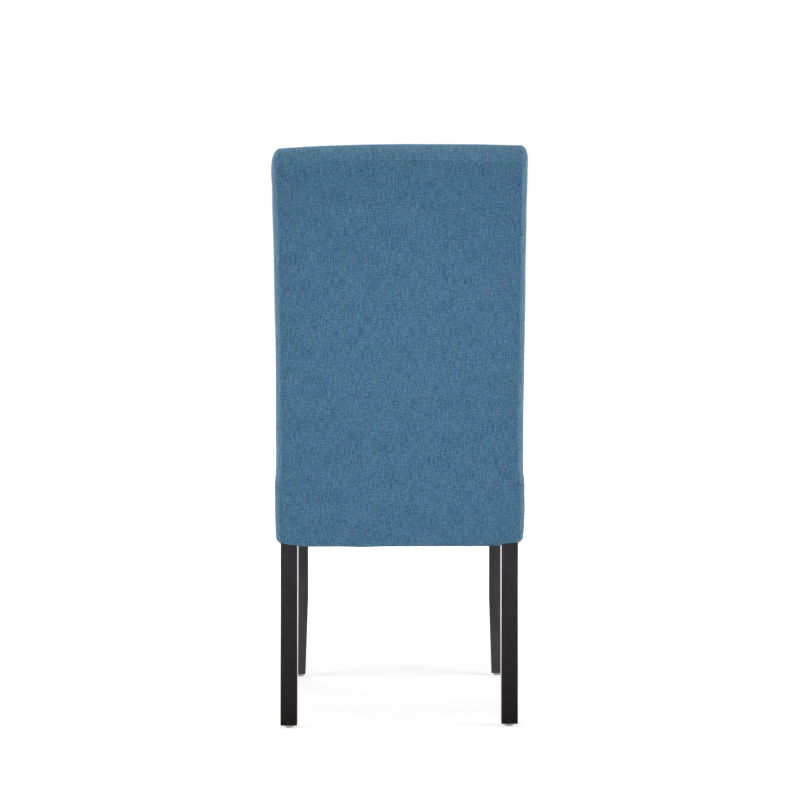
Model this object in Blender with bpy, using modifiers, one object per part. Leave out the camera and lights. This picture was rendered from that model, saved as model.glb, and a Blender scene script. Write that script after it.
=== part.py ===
"""An upholstered dining chair with a high back, built as its real pieces.

The seat faces -Y and the back leans towards +Y. The origin is on the floor under the middle of the
chair. Lengths are in metres. Left and right are a sitting person's: left is +X.
"""

import math

import bmesh
import bpy
from mathutils import Matrix, Vector

# Overall sizes
WIDTH = 0.444
DEPTH = 0.610
HEIGHT = 1.040
HEM_HEIGHT = 0.326
LEAN = math.radians(10.2)
SPLAY = math.radians(3.6)

# Clearances
GAP = 0.0003
SOFT_GAP = 0.0006
SEAM_GAP = 0.0005
OVERRUN = 0.030
MERGE_DISTANCE = 0.00005

# Legs and the posts that the rear legs run up into
LEG_WIDTH = 0.030
LEG_ROUND = 0.0016
FRONT_LEG_DEPTH = 0.030
FRONT_FOOT_WIDTH = 0.024
FRONT_TAPER_HEIGHT = 0.165
POST_DEPTH = 0.038
POST_FOOT_DEPTH = 0.031
POST_TOP_DEPTH = 0.028
BACK_EASE = 0.120
LEG_EASE = 0.100

# Rails, their tenons and the corner blocks
RAIL_THICKNESS = 0.022
RAIL_HEIGHT = 0.076
RAIL_ROUND = 0.0012
TENON_THICKNESS = 0.010
TENON_SHOULDER = 0.010
MORTISE_WEB = 0.002
TOP_RAIL_HEIGHT = 0.060
LOWER_RAIL_HEIGHT = 0.045
LOWER_RAIL_RISE = 0.028
BLOCK_LENGTH = 0.065
BLOCK_HEIGHT = 0.034
BLOCK_RISE = 0.012

# Bolts and glides
BOLT_RADIUS = 0.003
BOLT_HEAD_RADIUS = 0.0065
BOLT_HEAD_HEIGHT = 0.005
WASHER_RADIUS = 0.009
WASHER_THICKNESS = 0.0015
GLIDE_RADIUS = 0.009
GLIDE_FLAT_RADIUS = 0.006
GLIDE_HEIGHT = 0.005
GLIDE_RIM = 0.0014
NAIL_RADIUS = 0.0013
NAIL_LENGTH = 0.016

# Straps, foam, wadding, liner and fabric
STRAP_WIDTH = 0.050
STRAP_THICKNESS = 0.0015
STRAP_INSET = 0.004
STRAP_RAMP = 0.004
SEAT_FOAM = 0.055
BACK_FOAM = 0.030
SIDE_WADDING = 0.0063
FRONT_WADDING = 0.0070
TOP_WADDING = 0.014
REAR_WADDING = 0.003
LINER_THICKNESS = 0.003
LINER_INSET = 0.008
FABRIC = 0.0012
DUST_CLOTH = 0.0008
DUST_INSET = 0.020

# Soft form of the covers
CORNER_RADIUS = 0.012
TOP_RADIUS = 0.022
HEM_RADIUS = 0.008
SEAT_EDGE_RADIUS = 0.024
SEAT_FRONT_RADIUS = 0.012
BACK_FRONT_RADIUS = 0.020
SEAT_CROWN = 0.015
BACK_CROWN = 0.010
REAR_CROWN = 0.003
TOP_CROWN = 0.005
BAND_BULGE = 0.002
SIDE_DRAW = 0.0015
HEM_RISE = 0.008
HEM_RISE_REACH = 0.040
HEM_LIP = 0.014
SEAM_INSET = 0.010
TOP_SEAM_DROP = 0.027
BAND_DROP = 0.002

# Shares chosen by hand
ARC_SHARE = math.tan(math.pi / 8)
STRAP_SHARES = (-0.30, 0.0, 0.30)
BACK_STRAP_SHARES = (0.14, 0.38, 0.62, 0.86)
BACK_LOOP_SHARES = (0.22, 0.45, 0.68, 0.88)
SEAT_LOOP_SHARES = (0.25, 0.45, 0.65)
WIDTH_LOOP_SHARES = (-0.22, 0.0, 0.22)

# Places worked out from the sizes
HALF = WIDTH / 2
FRONT = -DEPTH / 2
FRAME_HALF = HALF - FABRIC - SOFT_GAP - SIDE_WADDING - GAP
LEG_INNER = FRAME_HALF - LEG_WIDTH
FRAME_FRONT = FRONT + FABRIC + SOFT_GAP + FRONT_WADDING + GAP
FRONT_LEG_REAR = FRAME_FRONT + FRONT_LEG_DEPTH
LEG_FOOT = GLIDE_HEIGHT + GAP
RAIL_BOTTOM = HEM_HEIGHT + FABRIC + SOFT_GAP
RAIL_TOP = RAIL_BOTTOM + RAIL_HEIGHT
FOAM_BOTTOM = RAIL_TOP + 2 * STRAP_THICKNESS + 3 * GAP
SEAT_EDGE = FOAM_BOTTOM + SEAT_FOAM + SOFT_GAP + FABRIC
SEAT_TOP = SEAT_EDGE + SEAT_CROWN
BAND_TOP = SEAT_EDGE - SEAT_EDGE_RADIUS - BAND_DROP
POST_TOP = HEIGHT - TOP_CROWN - FABRIC - SOFT_GAP - TOP_WADDING - GAP
REAR_LAYERS = FABRIC + SOFT_GAP + REAR_WADDING + LINER_THICKNESS + 2 * GAP
FRONT_LAYERS = STRAP_THICKNESS + BACK_FOAM + FABRIC + SOFT_GAP + 2 * GAP
BACK_THICKNESS = REAR_LAYERS + POST_DEPTH + FRONT_LAYERS


def shared(value, start, end):
    """How far value lies on the way from start to end, held between 0 and 1."""
    return min(max((value - start) / (end - start), 0.0), 1.0)


def eased(travel, length):
    """How far a line has moved aside that starts straight and bends to a slope of 1 over length."""
    travel = max(travel, 0.0)
    if travel < length:
        return travel * travel / (2 * length)
    return travel - length / 2


def bend(height):
    """How far the posts' line lies behind the upright stretch that holds the seat rails."""
    back = math.tan(LEAN) * eased(height - RAIL_TOP, BACK_EASE)
    foot = math.tan(SPLAY) * eased(RAIL_BOTTOM - height, LEG_EASE)
    return back + foot


# The round of the leaning top reaches a little past the point where it starts.
TOP_REACH = math.hypot(TOP_RADIUS * math.tan(LEAN), CORNER_RADIUS) - CORNER_RADIUS
SEAT_REAR = DEPTH / 2 - bend(HEIGHT - TOP_RADIUS) - TOP_REACH

# Heights at which every bent piece has a row of points, so that neighbours bend alike
STATIONS = (
    RAIL_BOTTOM - LEG_EASE,
    RAIL_BOTTOM - LEG_EASE / 2,
    RAIL_BOTTOM,
    RAIL_TOP,
    RAIL_TOP + BACK_EASE / 4,
    RAIL_TOP + BACK_EASE / 2,
    RAIL_TOP + 3 * BACK_EASE / 4,
    RAIL_TOP + BACK_EASE,
)


def post_depth(height):
    """Depth of a post, which thins towards its foot and its top."""
    upward = shared(height, RAIL_TOP, POST_TOP) * (POST_TOP_DEPTH - POST_DEPTH)
    downward = shared(height, RAIL_BOTTOM, LEG_FOOT) * (POST_FOOT_DEPTH - POST_DEPTH)
    return POST_DEPTH + upward + downward


def rear_line(height):
    """Rear face of the fabric."""
    return SEAT_REAR + bend(height)


def post_rear(height):
    return rear_line(height) - REAR_LAYERS


def post_front(height):
    return post_rear(height) - post_depth(height)


def front_line(height):
    """Front face of the fabric on the inside back, before its crown."""
    return post_front(height) - FRONT_LAYERS


def moved(line, distance):
    """The same line, moved along Y."""
    return lambda height: line(height) + distance


def level(place):
    """A line that keeps one place at every height."""
    return lambda height: place


# Scene, collections and materials


def new_collection(name):
    collection = bpy.data.collections.new(name)
    bpy.context.scene.collection.children.link(collection)
    return collection


def linear(value):
    """A display colour value of 0 to 255 as the linear one that a shader takes."""
    share = value / 255
    if share <= 0.04045:
        return share / 12.92
    return ((share + 0.055) / 1.055) ** 2.4


def new_material(name, red, green, blue, roughness, metallic=0.0):
    material = bpy.data.materials.new(name)
    material.use_nodes = True
    shader = material.node_tree.nodes["Principled BSDF"]
    colour = (linear(red), linear(green), linear(blue), 1.0)
    shader.inputs["Base Color"].default_value = colour
    shader.inputs["Roughness"].default_value = roughness
    shader.inputs["Metallic"].default_value = metallic
    material.diffuse_color = colour
    return material


for old in list(bpy.data.objects):
    bpy.data.objects.remove(old, do_unlink=True)

PARTS = new_collection("upholstered_dining_chair")
CUTTERS = new_collection("cutters")

DARK_WOOD = new_material("dark_stained_wood", 46, 41, 42, 0.42)
FRAME_WOOD = new_material("frame_hardwood", 196, 160, 116, 0.65)
BLUE_FABRIC = new_material("blue_linen_fabric", 74, 113, 141, 0.92)
FOAM = new_material("seat_foam", 236, 222, 180, 0.95)
WADDING = new_material("polyester_wadding", 238, 238, 234, 0.95)
FIBREBOARD = new_material("fibreboard", 140, 108, 76, 0.8)
WEBBING = new_material("elastic_webbing", 60, 58, 54, 0.85)
BLACK_CLOTH = new_material("black_dust_cloth", 22, 22, 24, 0.95)
STEEL = new_material("zinc_plated_steel", 190, 190, 186, 0.35, 1.0)
NICKEL = new_material("nickel", 205, 203, 198, 0.25, 1.0)


def new_object(name, mesh, material=None):
    """A sub-part in its material, or a hidden cutter if it has none."""
    thing = bpy.data.objects.new(name, mesh)
    if material is None:
        thing.hide_render = True
        thing.display_type = "WIRE"
        CUTTERS.objects.link(thing)
    else:
        mesh.materials.append(material)
        PARTS.objects.link(thing)
    return thing


def mesh_from(bm, name):
    mesh = bpy.data.meshes.new(name)
    bmesh.ops.recalc_face_normals(bm, faces=bm.faces)
    bm.to_mesh(mesh)
    bm.free()
    return mesh


def smooth(thing, angle=math.radians(35)):
    thing.data.shade_smooth()
    thing.data.set_sharp_from_angle(angle=angle)


def boolean(thing, other, operation):
    modifier = thing.modifiers.new(operation.lower() + "_" + other.name, "BOOLEAN")
    modifier.operation = operation
    modifier.object = other


def cut(thing, *cutters):
    for cutter in cutters:
        boolean(thing, cutter, "DIFFERENCE")


def use_manifold_solver(thing):
    """For a thin shell whose cuts graze its own faces, where the exact solver leaves open edges."""
    for modifier in thing.modifiers:
        if modifier.type == "BOOLEAN":
            modifier.solver = "MANIFOLD"


def round_edges(thing, width):
    modifier = thing.modifiers.new("rounded_edges", "BEVEL")
    modifier.limit_method = "ANGLE"
    modifier.angle_limit = math.radians(40)
    modifier.width = width
    modifier.segments = 2


def slice_across(bm, axis, places):
    """Adds a loop of points to the mesh at each of these places on an axis."""
    normal = Vector((0, 0, 0))
    normal[axis] = 1
    for place in places:
        bmesh.ops.bisect_plane(
            bm,
            geom=bm.verts[:] + bm.edges[:] + bm.faces[:],
            plane_co=normal * place,
            plane_no=normal,
        )


def fitted_cube(bm, low, high):
    bmesh.ops.create_cube(bm, size=1)
    low = Vector(low)
    high = Vector(high)
    place = Matrix.Translation((low + high) / 2) @ Matrix.Diagonal(high - low).to_4x4()
    bmesh.ops.transform(bm, matrix=place, verts=bm.verts)


def board(name, sides, heights, front, rear, material=None):
    """A board between two X places and two heights, whose front and rear follow lines in Y."""
    bm = bmesh.new()
    fitted_cube(bm, (sides[0], -OVERRUN, heights[0]), (sides[1], OVERRUN, heights[1]))
    inner = [place for place in STATIONS if heights[0] + GAP < place < heights[1] - GAP]
    slice_across(bm, 2, inner)
    for vertex in bm.verts:
        line = rear if vertex.co.y > 0 else front
        vertex.co.y = line(vertex.co.z)
    return new_object(name, mesh_from(bm, name), material)


def turned(name, profile, material):
    """A round piece about its own Z axis, from the profile of its outer side, top to bottom."""
    bm = bmesh.new()
    points = [bm.verts.new((radius, 0, height)) for radius, height in profile]
    for start, end in zip(points, points[1:]):
        bm.edges.new((start, end))
    mesh = bpy.data.meshes.new(name)
    bm.to_mesh(mesh)
    bm.free()
    thing = new_object(name, mesh, material)
    modifier = thing.modifiers.new("turn", "SCREW")
    modifier.steps = 16
    modifier.render_steps = 16
    modifier.use_merge_vertices = True
    modifier.merge_threshold = MERGE_DISTANCE
    modifier.use_smooth_shade = True
    return thing


def plate(name, outline, heights, material):
    """A flat piece with this outline seen from above, between two heights."""
    curve = bpy.data.curves.new(name, "CURVE")
    curve.dimensions = "2D"
    curve.fill_mode = "BOTH"
    curve.extrude = (heights[1] - heights[0]) / 2
    spline = curve.splines.new("POLY")
    spline.points.add(len(outline) - 1)
    for point, (x, y) in zip(spline.points, outline):
        point.co = (x, y, 0, 1)
    spline.use_cyclic_u = True
    guide = bpy.data.objects.new(name + "_outline", curve)
    PARTS.objects.link(guide)
    guide.location.z = (heights[0] + heights[1]) / 2
    bpy.context.view_layer.update()
    graph = bpy.context.evaluated_depsgraph_get()
    mesh = bpy.data.meshes.new_from_object(guide.evaluated_get(graph))
    bm = bmesh.new()
    bm.from_mesh(mesh)
    bmesh.ops.remove_doubles(bm, verts=bm.verts, dist=MERGE_DISTANCE)
    bmesh.ops.recalc_face_normals(bm, faces=bm.faces)
    bm.to_mesh(mesh)
    bm.free()
    thing = new_object(name, mesh, material)
    thing.matrix_world = guide.matrix_world
    bpy.data.objects.remove(guide, do_unlink=True)
    return thing


# Rear legs: one-piece posts from the floor to the top of the back


def rear_leg(name, side):
    sides = sorted((side * LEG_INNER, side * FRAME_HALF))
    thing = board(name, sides, (LEG_FOOT, POST_TOP), post_front, post_rear, DARK_WOOD)
    round_edges(thing, LEG_ROUND)
    return thing


# Front legs: square above, tapered on the two inner faces below


def front_leg(name, side):
    sides = sorted((side * LEG_INNER, side * FRAME_HALF))
    thing = board(
        name, sides, (LEG_FOOT, RAIL_TOP), level(FRAME_FRONT), level(FRONT_LEG_REAR), DARK_WOOD
    )
    bm = bmesh.new()
    bm.from_mesh(thing.data)
    slice_across(bm, 2, [FRONT_TAPER_HEIGHT])
    for vertex in bm.verts:
        if vertex.co.z < FRONT_TAPER_HEIGHT - GAP:
            taper = shared(vertex.co.z, FRONT_TAPER_HEIGHT, LEG_FOOT)
            if abs(vertex.co.x) < FRAME_HALF - GAP:
                vertex.co.x += side * taper * (LEG_WIDTH - FRONT_FOOT_WIDTH)
            if vertex.co.y > FRAME_FRONT + GAP:
                vertex.co.y -= taper * (FRONT_LEG_DEPTH - FRONT_FOOT_WIDTH)
    bm.to_mesh(thing.data)
    bm.free()
    round_edges(thing, LEG_ROUND)
    return thing


LEGS = {}
for side_name, side_sign in (("left", 1), ("right", -1)):
    LEGS["rear", side_sign] = rear_leg("rear_leg_" + side_name, side_sign)
    LEGS["front", side_sign] = front_leg("front_leg_" + side_name, side_sign)


# Rails: each has a tenon at both ends, and the legs have mortises to take them

TENON_LENGTH = LEG_WIDTH - (RAIL_THICKNESS + TENON_THICKNESS) / 2 - MORTISE_WEB
TENON_SIDE = (RAIL_THICKNESS - TENON_THICKNESS) / 2


def rail(name, sides, heights, front, rear, legs):
    """A rail along X between two legs, whose tenons run on past its ends."""
    thing = board(name, sides, heights, front, rear, FRAME_WOOD)
    round_edges(thing, RAIL_ROUND)
    for role, extra in (("tenon", 0), ("mortise", GAP)):
        reach = TENON_LENGTH - GAP + 2 * extra
        bar = board(
            name + "_" + role,
            (sides[0] - reach, sides[1] + reach),
            (heights[0] + TENON_SHOULDER - extra, heights[1] - TENON_SHOULDER + extra),
            moved(front, TENON_SIDE - extra),
            moved(rear, -TENON_SIDE + extra),
        )
        if role == "tenon":
            boolean(thing, bar, "UNION")
        else:
            for leg in legs:
                cut(leg, bar)
    return thing


def side_rail(name, side):
    """A rail along Y from a front leg to a rear post."""
    outer = side * FRAME_HALF
    inner = side * (FRAME_HALF - RAIL_THICKNESS)
    heights = (RAIL_BOTTOM, RAIL_TOP)
    start = FRONT_LEG_REAR + GAP
    end = post_front(RAIL_TOP) - GAP
    thing = board(name, sorted((outer, inner)), heights, level(start), level(end), FRAME_WOOD)
    round_edges(thing, RAIL_ROUND)
    for role, extra in (("tenon", 0), ("mortise", GAP)):
        reach = TENON_LENGTH - GAP + 2 * extra
        edges = (outer - side * (TENON_SIDE - extra), inner + side * (TENON_SIDE - extra))
        bar = board(
            name + "_" + role,
            sorted(edges),
            (heights[0] + TENON_SHOULDER - extra, heights[1] - TENON_SHOULDER + extra),
            level(start - reach),
            level(end + reach),
        )
        if role == "tenon":
            boolean(thing, bar, "UNION")
        else:
            cut(LEGS["front", side], bar)
            cut(LEGS["rear", side], bar)
    return thing


RAIL_SIDES = (-LEG_INNER + GAP, LEG_INNER - GAP)
SEAT_RAIL_HEIGHTS = (RAIL_BOTTOM, RAIL_TOP)
LOWER_RAIL_BOTTOM = SEAT_TOP + LOWER_RAIL_RISE
LOWER_RAIL_TOP = LOWER_RAIL_BOTTOM + LOWER_RAIL_HEIGHT
TOP_RAIL_BOTTOM = POST_TOP - TOP_RAIL_HEIGHT
REAR_RAIL_FRONT = moved(post_rear, -RAIL_THICKNESS)
POSTS = (LEGS["rear", 1], LEGS["rear", -1])

rail(
    "seat_rail_front",
    RAIL_SIDES,
    SEAT_RAIL_HEIGHTS,
    level(FRAME_FRONT),
    level(FRAME_FRONT + RAIL_THICKNESS),
    (LEGS["front", 1], LEGS["front", -1]),
)
rail("seat_rail_rear", RAIL_SIDES, SEAT_RAIL_HEIGHTS, REAR_RAIL_FRONT, post_rear, POSTS)
rail(
    "back_rail_lower",
    RAIL_SIDES,
    (LOWER_RAIL_BOTTOM, LOWER_RAIL_TOP),
    REAR_RAIL_FRONT,
    post_rear,
    POSTS,
)
rail("back_rail_top", RAIL_SIDES, (TOP_RAIL_BOTTOM, POST_TOP), REAR_RAIL_FRONT, post_rear, POSTS)
side_rail("seat_rail_left", 1)
side_rail("seat_rail_right", -1)


# Corner blocks, each with a bolt and a washer that pull the leg into its corner

BOLT_REACH = LEG_WIDTH - (RAIL_THICKNESS + TENON_THICKNESS) / 2 - BOLT_RADIUS - MORTISE_WEB
BLOCK_HEIGHTS = (RAIL_BOTTOM + BLOCK_RISE, RAIL_BOTTOM + BLOCK_RISE + BLOCK_HEIGHT)


def corner(row, side, side_name):
    """Block, bolt and washer in one corner. u runs inwards along X and v inwards along Y."""
    label = row + "_" + side_name
    u_sign = -side
    v_sign = 1 if row == "front" else -1
    rail_face = FRAME_FRONT + RAIL_THICKNESS if row == "front" else REAR_RAIL_FRONT(RAIL_TOP)
    leg_face = FRONT_LEG_REAR if row == "front" else post_front(RAIL_TOP)
    corner_x = side * (FRAME_HALF - RAIL_THICKNESS - GAP)
    corner_y = rail_face + v_sign * GAP
    notch_u = LEG_WIDTH - RAIL_THICKNESS
    notch_v = abs(leg_face - rail_face)

    def placed(u, v):
        return (corner_x + u_sign * u, corner_y + v_sign * v)

    outline = [
        placed(notch_u, 0),
        placed(BLOCK_LENGTH, 0),
        placed(0, BLOCK_LENGTH),
        placed(0, notch_v),
        placed(notch_u, notch_v),
    ]
    block = plate("corner_block_" + label, outline, BLOCK_HEIGHTS, FRAME_WOOD)

    # The bolt runs through the middle of the block's long face to the leg's corner.
    along = (BLOCK_LENGTH - notch_u - notch_v) / 2
    face = Vector((*placed(notch_u + along, notch_v + along), sum(BLOCK_HEIGHTS) / 2))
    outward = Vector((u_sign, v_sign, 0)).normalized()
    turn = outward.to_track_quat("Z", "Y").to_matrix().to_4x4()
    frame = Matrix.Translation(face) @ turn
    shank = (along + BOLT_REACH) * math.sqrt(2)
    seat = GAP + WASHER_THICKNESS + GAP
    bolt = turned(
        "corner_bolt_" + label,
        (
            (0, seat + BOLT_HEAD_HEIGHT),
            (BOLT_HEAD_RADIUS, seat + BOLT_HEAD_HEIGHT),
            (BOLT_HEAD_RADIUS, seat),
            (BOLT_RADIUS, seat),
            (BOLT_RADIUS, -shank),
            (0, -shank),
        ),
        STEEL,
    )
    bolt.matrix_world = frame
    smooth(bolt)

    hole = turned(
        "corner_bolt_hole_" + label,
        (
            (0, OVERRUN),
            (BOLT_RADIUS + GAP, OVERRUN),
            (BOLT_RADIUS + GAP, -shank - GAP),
            (0, -shank - GAP),
        ),
        None,
    )
    hole.matrix_world = frame
    washer = turned(
        "corner_washer_" + label,
        (
            (0, seat - GAP),
            (WASHER_RADIUS, seat - GAP),
            (WASHER_RADIUS, GAP),
            (0, GAP),
        ),
        STEEL,
    )
    washer.matrix_world = frame
    cut(washer, hole)
    cut(block, hole)
    cut(LEGS[row, side], hole)


for row_name in ("front", "rear"):
    for side_name, side_sign in (("left", 1), ("right", -1)):
        corner(row_name, side_sign, side_name)


# Glides: a domed button on a nail, driven into each leg's foot

NAIL_TOP = LEG_FOOT + NAIL_LENGTH


def glide(row, side, side_name):
    x = side * (FRAME_HALF - (FRONT_FOOT_WIDTH if row == "front" else LEG_WIDTH) / 2)
    if row == "front":
        y = FRAME_FRONT + FRONT_FOOT_WIDTH / 2
    else:
        y = post_rear(LEG_FOOT) - POST_FOOT_DEPTH / 2
    button = turned(
        "glide_" + row + "_" + side_name,
        (
            (0, NAIL_TOP),
            (NAIL_RADIUS, NAIL_TOP - 2 * NAIL_RADIUS),
            (NAIL_RADIUS, GLIDE_HEIGHT),
            (GLIDE_RADIUS, GLIDE_HEIGHT),
            (GLIDE_RADIUS, GLIDE_HEIGHT - GLIDE_RIM),
            ((GLIDE_RADIUS + GLIDE_FLAT_RADIUS) / 2, GLIDE_RIM / 2),
            (GLIDE_FLAT_RADIUS, 0),
            (0, 0),
        ),
        NICKEL,
    )
    button.location = (x, y, 0)
    smooth(button)
    hole = turned(
        "glide_hole_" + row + "_" + side_name,
        (
            (0, NAIL_TOP + GAP),
            (NAIL_RADIUS + GAP, NAIL_TOP + GAP),
            (NAIL_RADIUS + GAP, LEG_FOOT - OVERRUN),
            (0, LEG_FOOT - OVERRUN),
        ),
        None,
    )
    hole.location = (x, y, 0)
    cut(LEGS[row, side], hole)


for row_name in ("front", "rear"):
    for side_name, side_sign in (("left", 1), ("right", -1)):
        glide(row_name, side_sign, side_name)


# Webbing under the seat foam: three straps each way, woven over and under

SEAT_OPENING_HALF = FRAME_HALF - RAIL_THICKNESS
OPENING_FRONT = FRAME_FRONT + RAIL_THICKNESS
OPENING_REAR = REAR_RAIL_FRONT(RAIL_TOP)
OPENING_MIDDLE = (OPENING_FRONT + OPENING_REAR) / 2
LONG_PLACES = [2 * SEAT_OPENING_HALF * share for share in STRAP_SHARES]
CROSS_PLACES = [
    OPENING_MIDDLE + (OPENING_REAR - OPENING_FRONT) * share for share in STRAP_SHARES
]
STRAP_BASE = RAIL_TOP + GAP
STRAP_STEP = STRAP_THICKNESS + GAP
FLAT_HALF = STRAP_WIDTH / 2 + STRAP_RAMP


def woven_strap(name, axis, place, ends, crossings, over_first):
    """A strap along one axis that passes over one crossing strap and under the next."""
    other = 1 - axis
    low = [0, 0, STRAP_BASE]
    high = [0, 0, STRAP_BASE + STRAP_THICKNESS]
    low[axis], high[axis] = ends
    low[other] = place - STRAP_WIDTH / 2
    high[other] = place + STRAP_WIDTH / 2
    lifted = [spot for index, spot in enumerate(crossings) if (index % 2 == 0) == over_first]
    bm = bmesh.new()
    fitted_cube(bm, low, high)
    for spot in lifted:
        flats = (spot - FLAT_HALF, spot + FLAT_HALF)
        ramps = (flats[0] - 2 * STRAP_RAMP, flats[1] + 2 * STRAP_RAMP)
        slice_across(bm, axis, flats + ramps)
    for vertex in bm.verts:
        if any(abs(vertex.co[axis] - spot) < FLAT_HALF + GAP for spot in lifted):
            vertex.co.z += STRAP_STEP
    new_object(name, mesh_from(bm, name), WEBBING)


LONG_ENDS = (FRAME_FRONT + STRAP_INSET, post_rear(RAIL_TOP) - STRAP_INSET)
CROSS_ENDS = (-FRAME_HALF + STRAP_INSET, FRAME_HALF - STRAP_INSET)
for number, place in enumerate(LONG_PLACES):
    woven_strap(
        f"seat_webbing_long_{number + 1}", 1, place, LONG_ENDS, CROSS_PLACES, number % 2 == 0
    )
for number, place in enumerate(CROSS_PLACES):
    woven_strap(
        f"seat_webbing_cross_{number + 1}", 0, place, CROSS_ENDS, LONG_PLACES, number % 2 == 1
    )


# Webbing on the front of the posts

for number, share in enumerate(BACK_STRAP_SHARES):
    middle = LOWER_RAIL_TOP + share * (TOP_RAIL_BOTTOM - LOWER_RAIL_TOP)
    board(
        f"back_webbing_{number + 1}",
        CROSS_ENDS,
        (middle - STRAP_WIDTH / 2, middle + STRAP_WIDTH / 2),
        moved(post_front, -GAP - STRAP_THICKNESS),
        moved(post_front, -GAP),
        WEBBING,
    )


# Soft forms: a block with rounded edges whose points are then moved to the chair's own lines


def arc_loops(low, high, low_radius, high_radius):
    """Loops that divide the round of each edge in even steps, and where the rounds end."""
    return [
        low + low_radius * (1 - ARC_SHARE),
        low + low_radius,
        high - high_radius,
        high - high_radius * (1 - ARC_SHARE),
    ]


def rounded_block(low, high, low_radii, high_radii, loops):
    """A block whose edges are rounded by a radius for each of its six sides."""
    bm = bmesh.new()
    fitted_cube(bm, low, high)
    for axis in range(3):
        arcs = arc_loops(low[axis], high[axis], low_radii[axis], high_radii[axis])
        slice_across(bm, axis, arcs + list(loops[axis]))
    for vertex in bm.verts:
        centre = Vector()
        offset = Vector()
        radii = Vector()
        for axis in range(3):
            place = vertex.co[axis]
            start = low[axis] + low_radii[axis]
            end = high[axis] - high_radii[axis]
            centre[axis] = min(max(place, start), end)
            radii[axis] = low_radii[axis] if place < start else high_radii[axis]
            offset[axis] = (place - centre[axis]) / radii[axis]
        offset.normalize()
        for axis in range(3):
            vertex.co[axis] = centre[axis] + radii[axis] * offset[axis]
    # Every layer of a form is divided alike, so that crowned faces lie the same way in each.
    bmesh.ops.triangulate(bm, faces=bm.faces, quad_method="FIXED")
    return bm


def band_bulge(height):
    """How far the band round the seat swells: most at its middle, nothing at its edges."""
    return BAND_BULGE * math.sin(math.pi * shared(height, HEM_HEIGHT, SEAT_EDGE))


def hem_rise(x, y, z):
    """How far the hem is drawn up at this place, outside a leg."""
    across = shared(abs(x), LEG_INNER, FRAME_HALF)
    at_rear = shared(y, post_front(RAIL_BOTTOM), post_rear(RAIL_BOTTOM))
    at_front = shared(y, FRONT_LEG_REAR, FRAME_FRONT)
    fade = 1 - shared(z, HEM_HEIGHT + HEM_RADIUS, HEM_HEIGHT + HEM_RISE_REACH)
    return HEM_RISE * fade * (across * max(at_rear, at_front)) ** 2


def side_draw(height):
    """How far the sides of the back are drawn in: most at its middle, nothing at its ends."""
    return SIDE_DRAW * math.sin(math.pi * shared(height, SEAT_EDGE, HEIGHT))


def spread_x(x, z):
    return x * (1 + (band_bulge(z) - side_draw(z)) / HALF)


def shape_back(point):
    """Moves a point of the back's block, whose Y starts at 0 on its rear face."""
    x, y, z = point
    across = 1 - (x / HALF) ** 2
    front_share = shared(-y, CORNER_RADIUS, BACK_THICKNESS - BACK_FRONT_RADIUS)
    rear_hump = math.sin(math.pi * shared(z, HEM_HEIGHT, HEIGHT - TOP_RADIUS))
    front_hump = math.sin(math.pi * shared(z, SEAT_TOP, HEIGHT))
    rear_face = rear_line(z) + REAR_CROWN * across * rear_hump
    front_face = front_line(z) + BACK_THICKNESS - BACK_CROWN * across * front_hump
    moved_y = y + rear_face + (front_face - rear_face) * front_share
    lowered = TOP_CROWN * (x / HALF) ** 2 * shared(z, SEAT_TOP, HEIGHT) ** 2
    return Vector((spread_x(x, z), moved_y, z - lowered + hem_rise(x, moved_y, z)))


def shape_seat(point):
    """Moves a point of the seat's block, whose rear face is upright."""
    x, y, z = point
    along = shared(y, FRONT, SEAT_REAR)
    crown = SEAT_CROWN * (1 - (x / HALF) ** 2) * 4 * along * (1 - along)
    drawn_in = (BAND_BULGE - band_bulge(z)) * (1 - along) ** 2
    moved_y = y + drawn_in + (rear_line(z) - SEAT_REAR) * along**2
    raised = crown * shared(z, RAIL_TOP, SEAT_EDGE - SEAT_EDGE_RADIUS)
    moved_z = z + raised + hem_rise(x, moved_y, z)
    return Vector((spread_x(x, z), moved_y, moved_z))


def width_loops(lip):
    """Loops across the chair: over its crown, at the hem's lips and where the hem starts to rise."""
    inner = [share * WIDTH for share in WIDTH_LOOP_SHARES]
    return inner + [-HALF + lip, -LEG_INNER, LEG_INNER, HALF - lip]


def back_form(inset):
    """The whole back from hem to top as one block, drawn in by inset on each side."""
    low = Vector((-HALF, -BACK_THICKNESS, HEM_HEIGHT)) + Vector((inset, inset, inset))
    high = Vector((HALF, 0, HEIGHT)) - Vector((inset, inset, inset))
    side = CORNER_RADIUS - inset
    low_radii = (side, BACK_FRONT_RADIUS - inset, HEM_RADIUS - inset)
    high_radii = (side, side, TOP_RADIUS - inset)
    start = STATIONS[-1]
    heights = [place for place in STATIONS if place > RAIL_BOTTOM]
    heights += [start + share * (HEIGHT - TOP_RADIUS - start) for share in BACK_LOOP_SHARES]
    lip = CORNER_RADIUS + HEM_LIP
    loops = (width_loops(lip), [-lip], heights)
    bm = rounded_block(low, high, low_radii, high_radii, loops)
    return bm, (-HALF + lip, HALF - lip, -BACK_THICKNESS, -lip), shape_back


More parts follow.
